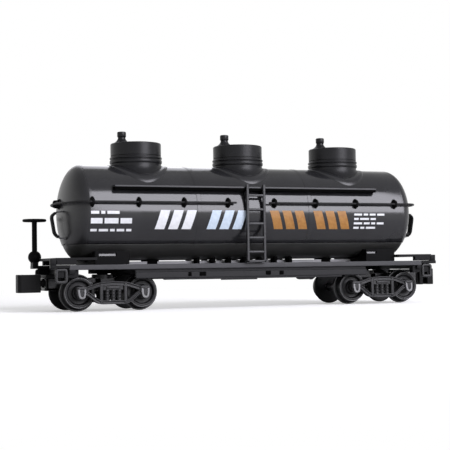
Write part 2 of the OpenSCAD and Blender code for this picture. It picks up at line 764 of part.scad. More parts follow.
module underframe() {
    color(dark) difference() {
        underframe_solid();
        for (e = ENDS) end_bay(e);
        tank_bar(tank_r + seat_gap, 0, 2 * deck_half);
        for (s = [-1, 1]) {
            translate([s * truck_x, 0, bolster_bottom - cut])
                cylinder(d = king_pin_d + 2 * seat_gap, h = body_bolster_h + deck_t + 2 * cut);
            translate([s * screw_x, 0, deck_bottom - cut])
                cylinder(d = screw_d + 2 * seat_gap, h = deck_t + tank_gap + shell_wall + 2 * cut);
        }
    }
}

module centre_sill() {
    color(dark) box([-centre_sill_half, -centre_sill_w / 2, deck_bottom - centre_sill_h],
        [centre_sill_half, centre_sill_w / 2, deck_bottom - seat_gap]);
}

module saddle(e) {
    half = saddle_len / 2;
    slot_z = deck_top + saddle_slot_rise;
    color(dark) on_end(e) difference() {
        box([truck_x - half, -saddle_w / 2, deck_top + seat_gap], [truck_x + half, saddle_w / 2, tank_z]);
        tank_bar(tank_r + seat_gap, truck_x, saddle_len + cut);
        box([truck_x - half - cut, -saddle_w, slot_z + saddle_slot_h + saddle_lip_t],
            [truck_x + half + cut, saddle_w, tank_z + cut]);
        for (s = [-1, 1]) translate([truck_x, s * saddle_w / 2, slot_z + saddle_slot_h / 2])
            cube([saddle_slot_len, 2 * saddle_slot_depth, saddle_slot_h], center = true);
        translate([truck_x, 0, deck_top]) cylinder(d = king_pin_d + 2 * seat_gap, h = tank_gap + cut);
    }
}

module end_platform(e) {
    half = end_beam_w / 2;
    color(dark) on_end(e) difference() {
        union() {
            box([deck_half - platform_len, -half, platform_z], [deck_half, half, platform_z + platform_t]);
            for (s = [-1, 1]) translate([deck_half - platform_leg_len, s * (half - platform_leg_w / 2), 0])
                box([0, -platform_leg_w / 2, deck_top + seat_gap],
                    [platform_leg_len - end_beam_t - seat_gap, platform_leg_w / 2, platform_z + platform_t]);
        }
        tank_form(tank_r + platform_clear, head_depth + platform_clear);
        box([0, -saddle_w / 2 - platform_clear, deck_top],
            [truck_x + saddle_len / 2 + platform_clear, saddle_w / 2 + platform_clear, tank_z]);
        if (e == "b") translate([staff_x, staff_y, platform_z - cut])
            cylinder(d = housing_d + 2 * platform_clear, h = platform_t + 2 * cut);
    }
}

// Stirrup hung under one horn, drawn for the near corner of the plain end
module stirrup_step() {
    right = deck_half - step_inset;
    translate([right - step_len, -end_beam_w / 2, deck_top - horn_t - seat_gap - step_h]) difference() {
        cube([step_len, step_t, step_h]);
        translate([step_t, -cut, step_t])
            cube([step_len - 2 * step_t, step_t + 2 * cut, step_h - 2 * step_t]);
    }
}

module stirrup_steps() {
    color(dark) for (e = ENDS, side = SIDES) on_end(e) on_side(side) stirrup_step();
}

module brake_cylinder() {
    z = deck_bottom - seat_gap - cylinder_d / 2;
    color(dark) translate([cylinder_x, -cylinder_y, z]) rotate([0, 90, 0]) union() {
        cylinder(d = cylinder_d, h = cylinder_len, center = true);
        translate([-cylinder_d / 4, 0, 0])
            cube([cylinder_d / 2, cylinder_bracket, cylinder_bracket], center = true);
        cylinder(d = cylinder_rod_d, h = cylinder_len + 2 * cylinder_rod_len, center = true);
    }
}

module brake_housing() {
    color(dark) translate([-staff_x, staff_y, housing_z]) difference() {
        sphere(d = housing_d);
        translate([0, 0, beam_top + seat_gap - housing_z - housing_d])
            cylinder(r = housing_d, h = housing_d);
        translate([0, 0, beam_top + housing_floor - housing_z])
            cylinder(r = staff_d / 2 + run_gap, h = housing_d);
    }
}

module brake_staff() {
    foot = beam_top + housing_floor + seat_gap;
    color(dark) translate([-staff_x, staff_y, foot])
        cylinder(d = staff_d, h = staff_top - brake_rim_t - foot);
}

module brake_wheel() {
    rim_r = (brake_wheel_d - brake_rim_t) / 2;
    hub_r = staff_d / 2;
    color(dark) translate([-staff_x, staff_y, staff_top - brake_rim_t / 2]) union() {
        rotate_extrude() translate([rim_r, 0]) circle(d = brake_rim_t);
        cylinder(r = hub_r, h = brake_rim_t - 2 * seat_gap, center = true);
        for (i = [0 : brake_spokes - 1]) rotate([0, 0, 360 * i / brake_spokes])
            translate([0, -spoke_t / 2, -spoke_t / 2]) cube([rim_r, spoke_t, spoke_t]);
    }
}

module body_screws() {
    top = tank_z - tank_r + belly_inset + screw_bite;
    color(steel) for (s = [-1, 1]) translate([s * screw_x, 0, deck_bottom - seat_gap]) {
        translate([0, 0, -screw_head_t]) cylinder(d = screw_head_d, h = screw_head_t);
        cylinder(d = screw_d, h = top - deck_bottom + seat_gap);
    }
}

module king_pins() {
    head_z = bolster_z - seat_gap - king_head_t;
    color(dark) for (s = [-1, 1]) translate([s * truck_x, 0, head_z]) {
        cylinder(d = king_head_d, h = king_head_t);
        cylinder(d = king_pin_d, h = deck_top - head_z);
    }
}

module bolster(e) {
    half_y = side_in - seat_gap;
    color(dark) turned_end(e) translate([truck_x, 0, 0]) difference() {
        union() {
            box([-bolster_half, -half_y, bolster_z], [bolster_half, half_y, bolster_z + bolster_h]);
            box([-bolster_half, -arm_w / 2, bolster_z], [bolster_half, arm_w / 2, plate_top]);
            box([0, -arm_w / 2, arm_z], [pocket_x + pocket_wall, arm_w / 2, pocket_lid_z - seat_gap]);
            box([pocket_x, -pocket_w / 2, pocket_z], [pocket_front, pocket_w / 2, pocket_lid_z - seat_gap]);
        }
        box([pocket_x + pocket_wall, -pocket_w / 2 + pocket_wall, pocket_z + pocket_wall],
            [lip_x, pocket_w / 2 - pocket_wall, pocket_top]);
        box([lip_x - cut, -pocket_mouth_w / 2, pocket_z + pocket_wall],
            [pocket_front + cut, pocket_mouth_w / 2, pocket_top]);
        translate([0, 0, bolster_z - cut])
            cylinder(r = king_pin_d / 2 + run_gap, h = plate_top - bolster_z + 2 * cut);
    }
}

module pocket_lid(e) {
    color(dark) turned_end(e) translate([truck_x, 0, 0])
        box([pocket_x, -pocket_w / 2, pocket_lid_z], [pocket_front, pocket_w / 2, pocket_top]);
}

module coupler_spring(e) {
    color(brass) turned_end(e) translate([truck_x + spring_x, 0, coupler_z]) rotate([0, 90, 0])
        cylinder(d = spring_d, h = spring_len);
}

module coupler(e) {
    half = head_w / 2;
    tip = head_x + head_len;
    bar = head_bar_t;
    hook = hook_mouth - half;
    outline = [[head_x, -half], [head_x + bar, -half], [head_x + bar, half - bar], [tip - bar, half - bar],
        [tip - bar, hook + bar], [tip - bar - hook_len, hook + bar], [tip - bar - hook_len, hook],
        [tip - nose_chamfer, hook], [tip, hook + nose_chamfer], [tip, half - nose_chamfer],
        [tip - nose_chamfer, half], [head_x, half]];
    color(dark) turned_end(e) translate([truck_x, 0, coupler_z]) union() {
        translate([0, 0, -head_h / 2]) linear_extrude(head_h) polygon(outline);
        box([tee_x, -shank_w / 2, -shank_h / 2], [head_x + bar / 2, shank_w / 2, shank_h / 2]);
        box([tee_x, -tee_w / 2, -shank_h / 2], [tee_x + tee_t, tee_w / 2, shank_h / 2]);
    }
}

// Moulded spring with rings round it, standing on the XY plane
module nest_spring(h) {
    step = h / nest_rings;
    outline = concat([[0, 0]], [for (i = [0 : nest_rings - 1]) each
        [[nest_core_d / 2, i * step], [nest_d / 2, (i + 1 / 3) * step], [nest_d / 2, (i + 2 / 3) * step]]],
        [[nest_core_d / 2, h], [0, h]]);
    rotate_extrude() polygon(outline);
}

module sideframe(e, side) {
    end_x = axle_x + journal_w / 2;
    window = side_window_w / 2;
    column = window + column_w;
    low = -side_bottom;
    high = side_top;
    shoulder = journal_h / 2;
    brow = shoulder - journal_slope;
    outline = [[-column, low], [column, low], [axle_x - journal_w / 2, -shoulder], [end_x, -shoulder],
        [end_x, brow], [axle_x - journal_w / 2, shoulder], [column, high], [-column, high],
        [-axle_x + journal_w / 2, shoulder], [-end_x, brow], [-end_x, -shoulder],
        [-axle_x + journal_w / 2, -shoulder]];
    tip_x = axle_x - journal_w / 2 - chord_t / 2;
    nest_z = low + chord_t;
    nest_h = bolster_rise - nest_z;
    color(dark) translate([e == "a" ? truck_x : -truck_x, 0, axle_z]) on_side(side) difference() {
        union() {
            translate([0, -side_in, 0]) rotate([90, 0, 0]) linear_extrude(side_t) difference() {
                polygon(outline);
                for (s = [-1, 1]) polygon([[s * column, low + brace_t], [s * tip_x, -chord_t / 2],
                    [s * tip_x, chord_t / 4], [s * column, high - brace_t]]);
                translate([-window, nest_z]) square([side_window_w, high - chord_t - nest_z]);
            }
            box([-window, -side_out + bolster_recess, bolster_rise],
                [window, -side_in, bolster_rise + bolster_h - chord_t / 2]);
            for (i = [-1, 0, 1]) translate([i * (nest_d + seat_gap), -side_out + nest_d / 2, nest_z])
                nest_spring(nest_h);
            for (s = [-1, 1]) box([s * axle_x - journal_w / 2, -side_out - journal_proud, -shoulder],
                [s * axle_x + journal_w / 2, -side_in, brow]);
        }
        for (s = [-1, 1]) translate([s * axle_x, 0, 0]) rotate([90, 0, 0]) axle_form(run_gap);
    }
}

// Axle along Y with needle points, grown all round by a gap
module axle_form(gap) {
    point = axle_r;
    shoulder = axle_half - point;
    for (s = [0, 180]) rotate([s, 0, 0]) union() {
        cylinder(r = axle_r + gap, h = shoulder);
        translate([0, 0, shoulder]) cylinder(r1 = axle_r + gap, r2 = (axle_tip_d + gap) / 2, h = point + gap);
    }
}

// Where an axle stands along the wagon
function axle_place(e, p) = (e == "a" ? 1 : -1) * (truck_x + (p == "outer" ? axle_x : -axle_x));

module axle(e, p) {
    color(steel) translate([axle_place(e, p), 0, axle_z]) rotate([90, 0, 0]) axle_form(0);
}

module wheels(e, p) {
    tread_r = tread_d / 2;
    back = back_to_back / 2;
    face = back + wheel_flange_t + tread_w;
    bore = axle_r + seat_gap;
    floor = face - dish_depth;
    flange_r = flange_d / 2;
    outline = [[bore, back], [flange_r - flange_bevel, back], [flange_r, back + flange_bevel],
        [flange_r, back + wheel_flange_t - flange_bevel], [tread_r, back + wheel_flange_t], [tread_r, face],
        [tread_r - rim_t, face], [tread_r - rim_t - dish_slope, floor], [hub_d / 2 + dish_slope, floor],
        [hub_d / 2, face], [bore, face]];
    color(dark) translate([axle_place(e, p), 0, axle_z]) for (s = [90, -90])
        rotate([s, 0, 0]) rotate_extrude() polygon(outline);
}

tank_shell();
tank_belly();
weight_bar();
for (i = [1 : 3]) {
    dome((i - 2) * dome_pitch);
    dome_lid((i - 2) * dome_pitch);
    safety_valve((i - 2) * dome_pitch);
}
for (s = SIDES) {
    walkway(s);
    ladder(s);
}
handrail_posts();
underframe();
centre_sill();
stirrup_steps();
brake_cylinder();
brake_housing();
brake_staff();
brake_wheel();
body_screws();
king_pins();
for (e = ENDS) {
    handrail(e);
    tank_strap(e);
    end_grab(e);
    saddle(e);
    end_platform(e);
    bolster(e);
    pocket_lid(e);
    coupler_spring(e);
    coupler(e);
    for (s = SIDES) sideframe(e, s);
    for (p = PLACES) {
        axle(e, p);
        wheels(e, p);
    }
}
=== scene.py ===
import math

import bmesh
import bpy
import numpy as np
from mathutils import Matrix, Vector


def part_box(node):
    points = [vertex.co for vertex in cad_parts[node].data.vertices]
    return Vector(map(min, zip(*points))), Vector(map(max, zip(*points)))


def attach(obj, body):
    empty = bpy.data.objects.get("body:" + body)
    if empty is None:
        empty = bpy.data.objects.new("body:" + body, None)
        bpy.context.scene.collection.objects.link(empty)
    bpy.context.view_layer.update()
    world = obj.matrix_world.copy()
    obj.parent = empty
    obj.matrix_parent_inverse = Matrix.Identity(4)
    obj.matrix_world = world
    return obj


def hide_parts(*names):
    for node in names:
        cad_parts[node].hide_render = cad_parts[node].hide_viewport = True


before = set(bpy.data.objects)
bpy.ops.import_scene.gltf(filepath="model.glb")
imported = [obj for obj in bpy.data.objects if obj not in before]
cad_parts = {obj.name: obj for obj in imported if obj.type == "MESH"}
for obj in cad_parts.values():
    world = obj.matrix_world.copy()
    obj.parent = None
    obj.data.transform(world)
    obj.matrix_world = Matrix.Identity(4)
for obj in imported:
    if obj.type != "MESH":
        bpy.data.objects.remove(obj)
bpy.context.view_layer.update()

MM = 0.001  # metres in a millimetre
TURN = 2 * np.pi
QUARTER = np.pi / 2
X_AXIS, Y_AXIS, Z_AXIS = np.eye(3)
PLAN, SIDE, CROSS = (0, 1, 2), (0, 2, 1), (1, 2, 0)  # axes of an outline and of its thickness
ENDS = (("b", -1), ("a", 1))  # the hand brake stands at end b
SIDES = (("near", -1), ("far", 1))
BOTH = (-1, 1)

# Sizes in millimetres that the boxes of the CAD nodes don't give
SEAT = 0.03  # gap between two pieces that rest on each other
GRAFT = 0.1  # depth by which one skin of a piece reaches into the next
EDGE = 0.09  # usual rounding of a moulded edge
TIP_R = 0.05  # radius of the small flat that closes a turned piece on its axis
HEAD_DEPTH = 3.5
SHELL_WALL = 1.0
RAIL_R = 0.2
RAIL_BEAD = 0.02  # beads on the CAD rail's bends, the widest part of its box
RAIL_SLIM = 0.015
RAIL_SET = 0.12
RAIL_BEND = 3.0
POST_FIRST, POST_LAST, POST_SHIFT = 4.4, 28.65, -0.9
POST_COUNT = 4
AXLE_R = 0.75
STAFF_R = 0.475


def corners(node):
    """The lowest and the highest corner of a CAD node, in millimetres."""
    low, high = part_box(node)
    return np.array(low) / MM, np.array(high) / MM


def centre(node):
    """The middle of a CAD node's box, in millimetres."""
    low, high = corners(node)
    return (low + high) / 2


shell_low, shell_high = corners("tank_shell")
belly_low, belly_high = corners("tank_belly")
saddle_low, saddle_high = corners("saddle_a")
TANK_R = shell_high[1]
TANK_Z = shell_high[2] - TANK_R
POLE_X = shell_high[0]
BARREL = POLE_X - HEAD_DEPTH
SEAM_Z = shell_low[2]
SEAT_R = TANK_R + 0.01  # hollow of a piece that lies against the tank
LID_TOP = corners("dome_lid_1")[1][2]
TRUCK_X = (saddle_low[0] + saddle_high[0]) / 2
DECK_TOP = saddle_low[2] - SEAT
DECK_BOTTOM = corners("centre_sill")[1][2] + SEAT


# Surfaces: each function returns points, quads and caps of one skin, in millimetres


def skin(rings, loop=False):
    """Ring i is joined to ring i + 1 by quads all the way round. The first and the last ring are
    capped, or in a loop joined to each other."""
    count, sides = rings.shape[:2]
    index = np.arange(count * sides).reshape(count, sides)
    near = index if loop else index[:-1]
    far = np.roll(index, -1, 0) if loop else index[1:]
    quads = np.stack([near, np.roll(near, -1, 1), np.roll(far, -1, 1), far], -1).reshape(-1, 4)
    caps = [] if loop else [index[0, ::-1], index[-1]]
    return rings.reshape(-1, 3), quads, caps


def sheet(grid):
    """Open sheet: point (i, j) of the grid is joined to its neighbours by quads."""
    rows, cols = grid.shape[:2]
    index = np.arange(rows * cols).reshape(rows, cols)
    quads = np.stack([index[:-1, :-1], index[:-1, 1:], index[1:, 1:], index[1:, :-1]], -1)
    return grid.reshape(-1, 3), quads.reshape(-1, 4), []


def unit(vectors):
    """Each vector divided by its length."""
    return vectors / np.linalg.norm(vectors, axis=-1, keepdims=True)


def soften(outline, reach, steps=4, loop=True):
    """A corner P becomes the curve (1-t)^2 A + 2t(1-t) P + t^2 B, where A and B lie on its two edges
    at the given reach, or at 0.45 of a shorter edge. An open path keeps its two ends."""
    outline = np.asarray(outline, float)
    t = np.linspace(0, 1, steps + 1)[:, None]
    back = np.roll(outline, 1, 0) - outline
    ahead = np.roll(outline, -1, 0) - outline
    reach = np.broadcast_to(reach, len(outline))
    near, far = [
        outline + arm * np.minimum(reach / np.linalg.norm(arm, axis=1), 0.45)[:, None]
        for arm in (back, ahead)
    ]
    curve = (1 - t) ** 2 * near[:, None] + 2 * t * (1 - t) * outline[:, None] + t**2 * far[:, None]
    if loop:
        return curve.reshape(-1, outline.shape[1])
    return np.concatenate([outline[:1], curve[1:-1].reshape(-1, outline.shape[1]), outline[-1:]])


def slab(outline, low, high, edge=EDGE, axes=PLAN, steps=3):
    """Plate: the outline stands from low to high along the third axis, and within `edge` of each
    face it draws inwards along a quarter circle."""
    outline = np.asarray(outline, float)
    ahead = np.roll(outline, -1, 0) - outline
    area = np.sum(outline[:, 0] * np.roll(outline[:, 1], -1) - np.roll(outline[:, 0], -1) * outline[:, 1])
    normal = np.sign(area) * unit(np.stack([ahead[:, 1], -ahead[:, 0]], 1))
    before = np.roll(normal, 1, 0)
    mitre = (normal + before) / (1 + np.sum(normal * before, 1, keepdims=True))
    turn = np.linspace(0, QUARTER, steps + 1)
    rise, draw = edge * (1 - np.cos(turn)), edge * (1 - np.sin(turn))
    level = np.concatenate([low + rise, (high - rise)[::-1]])
    flat = outline - np.concatenate([draw, draw[::-1]])[:, None, None] * mitre
    rings = np.empty(flat.shape[:2] + (3,))
    rings[..., axes[0]], rings[..., axes[1]] = flat[..., 0], flat[..., 1]
    rings[..., axes[2]] = level[:, None]
    return skin(rings)


def rectangle(low, high):
    """The four corners of a rectangle."""
    return [(low[0], low[1]), (high[0], low[1]), (high[0], high[1]), (low[0], high[1])]


def bar_section(half_t, half_w, edge, steps=4):
    """Cross-section of a rounded bar, from half its thickness and half its width."""
    return soften(rectangle((-half_t, -half_w), (half_t, half_w)), edge, steps)


def block(low, high, edge=EDGE):
    """Rounded box: a plate over a rectangle whose corners are softened too."""
    low, high = np.minimum(low, high), np.maximum(low, high)
    return slab(soften(rectangle(low, high), 1.5 * edge), low[2], high[2], edge)


def lathe(profile, middle, axis, sides, loop=False):
    """Surface of revolution: a profile point is (place along the axis, radius), turned once round an
    axis through the middle given."""
    profile = np.asarray(profile, float)
    angle = np.linspace(0, TURN, sides, endpoint=False)
    rings = np.empty((len(profile), sides, 3))
    rings[..., axis] = profile[:, :1]
    rings[..., (axis + 1) % 3] = profile[:, 1:] * np.cos(angle)
    rings[..., (axis + 2) % 3] = profile[:, 1:] * np.sin(angle)
    return skin(rings + np.asarray(middle, float), loop)


def turned(profile, middle, axis, sides):
    """Solid of revolution: both ends of the profile are closed by a small flat on the axis."""
    return lathe([(profile[0][0], TIP_R), *profile, (profile[-1][0], TIP_R)], middle, axis, sides)


def standing_path(line, y):
    """Path in an upright plane: a line of (x, z) points at the place or places y."""
    return np.column_stack([line[:, 0], np.broadcast_to(y, len(line)), line[:, 1]])


def sweep(path, section, side, scale=1.0, loop=False):
    """Profile along a path: the section's first column lies along side x tangent and its second
    along side, both times a scale that may change along the path."""
    path = np.asarray(path, float)
    section = np.asarray(section, float)
    ahead = np.roll(path, -1, 0) - np.roll(path, 1, 0) if loop else np.gradient(path, axis=0)
    side = np.broadcast_to(side, path.shape)
    across = unit(np.cross(side, ahead))
    scale = np.broadcast_to(scale, len(path))[:, None, None]
    offset = section[None, :, :1] * across[:, None] + section[None, :, 1:] * side[:, None]
    return skin(path[:, None] + scale * offset, loop)


def circle(radius, sides=12):
    """Points evenly round a circle."""
    angle = np.linspace(0, TURN, sides, endpoint=False)
    return radius * np.stack([np.cos(angle), np.sin(angle)], 1)


def wire(path, radius, side, sides=12):
    """Round wire along a path. At both ends the radius falls as the cosine of an angle while the
    path goes on by its sine, which makes a dome."""
    path = np.asarray(path, float)
    angle = np.linspace(0.25, 1.45, 5)[:, None]
    first = path[0] - unit(path[1] - path[0]) * radius * np.sin(angle[::-1])
    last = path[-1] + unit(path[-1] - path[-2]) * radius * np.sin(angle)
    scale = np.concatenate([np.cos(angle[::-1, 0]), np.ones(len(path)), np.cos(angle[:, 0])])
    return sweep(np.concatenate([first, path, last]), circle(radius, sides), side, scale)


def moved(shell, shift=(0, 0, 0), flip=(1, 1, 1)):
    """The same skin with its coordinates multiplied by flip and moved by shift."""
    points, quads, caps = shell
    return points * np.asarray(flip, float) + np.asarray(shift, float), quads, caps


def piece(name, shells, finish, body, slot, *nodes, sharp=38, merge=False):
    """One mesh object from several skins. It rides on its body and stands for the named nodes."""
    starts = np.cumsum([0] + [len(points) for points, _, _ in shells])
    faces = []
    for start, (_, quads, caps) in zip(starts, shells):
        faces += (quads + start).tolist() + [(cap + start).tolist() for cap in caps]
    mesh = bpy.data.meshes.new(name)
    mesh.from_pydata(np.concatenate([points for points, _, _ in shells]) * MM, [], faces)
    work = bmesh.new()
    work.from_mesh(mesh)
    if merge:
        bmesh.ops.remove_doubles(work, verts=work.verts, dist=1e-4 * MM)
    else:
        bmesh.ops.recalc_face_normals(work, faces=work.faces)
    work.to_mesh(mesh)
    work.free()
    mesh.shade_smooth()
    mesh.set_sharp_from_angle(angle=math.radians(sharp))
    mesh.materials.append(finish)
    obj = bpy.data.objects.new(name, mesh)
    bpy.context.scene.collection.objects.link(obj)
    if not merge:
        evened = obj.modifiers.new("even_normals", "WEIGHTED_NORMAL")
        evened.keep_sharp = True
    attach(obj, body)
    if nodes:
        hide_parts(*nodes)
    return obj


def mirrored(shells, sign):
    """The skins of the +X end, or their mirror image for the -X end."""
    return [moved(shell, flip=(sign, 1, 1)) for shell in shells]


# Finishes

NOISE_LOW, NOISE_HIGH = 0.3, 0.7  # most of a noise lies between these
DRIFT = 5.0  # millimetres over which the tone of a moulding drifts
TOOL_MARK, TOOL_DEPTH = 0.3, 0.004  # length and depth of the marks on turned metal


def fill(tree, node, inputs):
    """Gives inputs of a node a number or a colour, or links them to another node's output."""
    for socket, value in inputs.items():
        if isinstance(value, bpy.types.NodeSocket):
            tree.links.new(value, node.inputs[socket])
        else:
            node.inputs[socket].default_value = value
    return node


def add_node(tree, kind, inputs, **settings):
    """A new shader node with its settings and inputs."""
    node = tree.nodes.new(f"ShaderNode{kind}")
    for name, value in settings.items():
        setattr(node, name, value)
    return fill(tree, node, inputs)


def shader_of(name):
    """A new material, its node tree and its Principled shader."""
    material = bpy.data.materials.new(name)
    material.use_nodes = True
    return material, material.node_tree, material.node_tree.nodes["Principled BSDF"]


def object_coords(tree):
    """Object coordinates: where a point lies on its piece."""
    return add_node(tree, "TexCoord", {}).outputs["Object"]


def combined(tree, operation, first, second):
    """Two numbers put together by a Math node."""
    return add_node(tree, "Math", {0: first, 1: second}, operation=operation).outputs["Value"]


def mapped(tree, value, start, stop, low, high, smooth=False):
    """Number that goes from low to high while the value goes from start to stop, evenly or smoothly."""
    inputs = {"Value": value, "From Min": start, "From Max": stop, "To Min": low, "To Max": high}
    course = "SMOOTHSTEP" if smooth else "LINEAR"
    return add_node(tree, "MapRange", inputs, interpolation_type=course).outputs["Result"]


def noise(tree, size, detail=3.0, stretch=(1, 1, 1)):
    """Noise on Object coordinates whose features are about `size` millimetres."""
    place = add_node(tree, "Mapping", {"Vector": object_coords(tree), "Scale": stretch}).outputs["Vector"]
    inputs = {"Vector": place, "Scale": 1 / (size * MM), "Detail": detail}
    return add_node(tree, "TexNoise", inputs).outputs["Fac"]


def ranged(tree, value, low, high):
    """A noise spread over low to high."""
    return mapped(tree, value, NOISE_LOW, NOISE_HIGH, low, high)


def tones(tree, value, dark, light):
    """Colour between two tones, by a noise."""
    ramp = add_node(tree, "ValToRGB", {"Fac": value})
    for stop, place, tone in zip(ramp.color_ramp.elements, (NOISE_LOW, NOISE_HIGH), (dark, light)):
        stop.position = place
        stop.color = (*tone, 1)
    return ramp.outputs["Color"]


def bumped(tree, value, depth):
    """Relief of a given depth in millimetres from a noise."""
    inputs = {"Height": value, "Distance": depth * MM, "Strength": 1.0}
    return add_node(tree, "Bump", inputs).outputs["Normal"]


def moulded(name, dark, light, rough, grain, depth, level):
    """Moulded plastic: a wide noise drifts tone and gloss, and a fine one is the mould's texture."""
    material, tree, shader = shader_of(name)
    wide = noise(tree, DRIFT)
    fill(tree, shader, {
        "Base Color": tones(tree, wide, dark, light),
        "Roughness": ranged(tree, wide, *rough),
        "Specular IOR Level": level,
        "Normal": bumped(tree, noise(tree, grain, 2.0), depth),
    })
    return material


def dull_past(material, axis, start, stop, rough, level):
    """Duller ends of a piece: from start to stop along an axis, to both sides of the middle, gloss and
    reflection fall smoothly to the values given."""
    tree = material.node_tree
    shader = tree.nodes["Principled BSDF"]
    apart = add_node(tree, "SeparateXYZ", {"Vector": object_coords(tree)})
    reach = add_node(tree, "Math", {0: apart.outputs[axis]}, operation="ABSOLUTE").outputs["Value"]
    for name, end in (("Roughness", rough), ("Specular IOR Level", level)):
        socket = shader.inputs[name]
        before = socket.links[0].from_socket if socket.is_linked else socket.default_value
        fill(tree, shader, {name: mapped(tree, reach, start * MM, stop * MM, before, end, smooth=True)})


def turned_metal(name, dark, light, rough, stretch):
    """Drawn or turned metal: noise stretched along the tool marks drives tone, gloss and relief."""
    material, tree, shader = shader_of(name)
    marks = noise(tree, TOOL_MARK, 4.0, stretch)
    fill(tree, shader, {
        "Base Color": tones(tree, marks, dark, light),
        "Roughness": ranged(tree, marks, *rough),
        "Metallic": 1.0,
        "Normal": bumped(tree, marks, TOOL_DEPTH),
    })
    return material


def printed(name, thin, full):
    """Pad-printed ink: its cover varies a little, and it is duller than the plastic."""
    material, tree, shader = shader_of(name)
    cover = noise(tree, 0.5, 4.0)
    fill(tree, shader, {
        "Base Color": tones(tree, cover, thin, full),
        "Roughness": ranged(tree, cover, 0.35, 0.5),
    })
    return material


tank_tones = {"dark": (0.0145, 0.0145, 0.016), "light": (0.02, 0.02, 0.022)}
dome_look = {"dark": (0.0065, 0.0065, 0.0075), "light": (0.0095, 0.0095, 0.011), "rough": (0.34, 0.4),
             "grain": 0.3, "depth": 0.002, "level": 0.25}
tank_gloss = moulded("tank_gloss", **tank_tones, rough=(0.12, 0.16), grain=0.5, depth=0.0012, level=0.5)
dull_past(tank_gloss, "X", start=BARREL - 0.6, stop=BARREL + 0.9, rough=0.34, level=0.4)
belly_satin = moulded("belly_satin", dark=(0.038, 0.038, 0.0365), light=(0.048, 0.048, 0.046),
                      rough=(0.36, 0.44), grain=0.4, depth=0.002, level=0.35)
flange_satin = moulded("flange_satin", **tank_tones, rough=(0.26, 0.3), grain=0.4, depth=0.0015, level=0.42)
dome_satin = moulded("dome_satin", **dome_look)
lid_satin = moulded("lid_satin", **dome_look)
dull_past(lid_satin, "Z", start=LID_TOP - 0.08, stop=LID_TOP - 0.01, rough=0.65, level=0.05)
# Near black that paints shade. On the walkway's board under the tread it stands for the dark band of shade
# under the walkway. On the supports, chocks and sill clips it stands for the shade under the tank and the
# deck.
shade_black = moulded("shade_black", dark=(0.0012, 0.0012, 0.0012), light=(0.002, 0.002, 0.002),
                      rough=(0.6, 0.75), grain=0.25, depth=0.004, level=0.02)
rail_black = moulded("rail_black", dark=(0.0024, 0.0024, 0.0026), light=(0.0038, 0.0038, 0.004),
                     rough=(0.5, 0.6), grain=0.3, depth=0.002, level=0.06)
wire_satin = moulded("wire_satin", dark=(0.01, 0.01, 0.0105), light=(0.014, 0.014, 0.0147),
                     rough=(0.4, 0.5), grain=0.3, depth=0.002, level=0.15)
fitting_satin = moulded("fitting_satin", dark=(0.018, 0.018, 0.02), light=(0.025, 0.025, 0.0275),
                        rough=(0.3, 0.4), grain=0.3, depth=0.003, level=0.36)
frame_matte = moulded("frame_matte", dark=(0.04, 0.04, 0.0425), light=(0.055, 0.055, 0.0585),
                      rough=(0.42, 0.52), grain=0.22, depth=0.005, level=0.25)
# A darker copy of frame_matte: painted shade under the deck's edge, on the side sills and the centre sill.
sill_shade_matte = moulded("sill_shade_matte", dark=(0.012, 0.012, 0.013), light=(0.018, 0.018, 0.0195),
                     rough=(0.45, 0.55), grain=0.22, depth=0.005, level=0.2)
# A darker copy of frame_matte: painted shade on the deck's end faces, the end platforms and the pivot pins.
end_shade_black = moulded("end_shade_black", dark=(0.006, 0.006, 0.0065), light=(0.01, 0.01, 0.0105),
                    rough=(0.4, 0.5), grain=0.22, depth=0.004, level=0.1)
truck_satin = moulded("truck_satin", dark=(0.012, 0.012, 0.0126), light=(0.02, 0.02, 0.021),
                      rough=(0.28, 0.36), grain=0.2, depth=0.004, level=0.32)
# Lighter and glossier than truck_satin: painted highlight, the bright vertical streaks on the raised U of
# each journal box.
journal_highlight_satin = moulded("journal_highlight_satin", dark=(0.028, 0.028, 0.0295), light=(0.042, 0.042, 0.044),
                        rough=(0.26, 0.32), grain=0.2, depth=0.003, level=0.65)
wheel_black = moulded("wheel_black", dark=(0.01, 0.01, 0.0105), light=(0.014, 0.014, 0.0145),
                      rough=(0.3, 0.4), grain=0.3, depth=0.002, level=0.22)
# Lighter and glossier than wheel_black: painted highlight, the light rings on the edges of the rims and
# flanges.
tyre_highlight_satin = moulded("tyre_highlight_satin", dark=(0.045, 0.045, 0.0455), light=(0.06, 0.06, 0.0605),
                     rough=(0.25, 0.32), grain=0.3, depth=0.002, level=0.7)
hook_black = moulded("hook_black", dark=(0.005, 0.005, 0.0052), light=(0.008, 0.008, 0.0082),
                     rough=(0.4, 0.5), grain=0.25, depth=0.003, level=0.1)
axle_steel = turned_metal("axle_steel", (0.28, 0.28, 0.29), (0.42, 0.42, 0.43), (0.25, 0.4), (1, 12, 1))
weight_steel = turned_metal("weight_steel", (0.36, 0.36, 0.37), (0.5, 0.5, 0.51), (0.4, 0.55), (1, 6, 6))
screw_steel = turned_metal("screw_steel", (0.3, 0.3, 0.31), (0.46, 0.46, 0.47), (0.25, 0.4), (1, 1, 8))
spring_brass = turned_metal("spring_brass", (0.42, 0.31, 0.13), (0.58, 0.45, 0.21), (0.25, 0.35), (4, 1, 1))
ink_white = printed("ink_white", (0.64, 0.65, 0.67), (0.74, 0.75, 0.77))
ink_blue = printed("ink_blue", (0.46, 0.55, 0.65), (0.56, 0.65, 0.74))
ink_amber = printed("ink_amber", (0.28, 0.12, 0.02), (0.38, 0.18, 0.04))
# Pale grey that paints light: it makes the bearer, which lies in the tank's shade, show as the light band in
# the gap between the tank and the deck.
gap_light_grey = moulded("gap_light_grey", dark=(0.4, 0.4, 0.41), light=(0.5, 0.5, 0.51),
                      rough=(0.5, 0.6), grain=0.22, depth=0.004, level=0.2)


# Tank

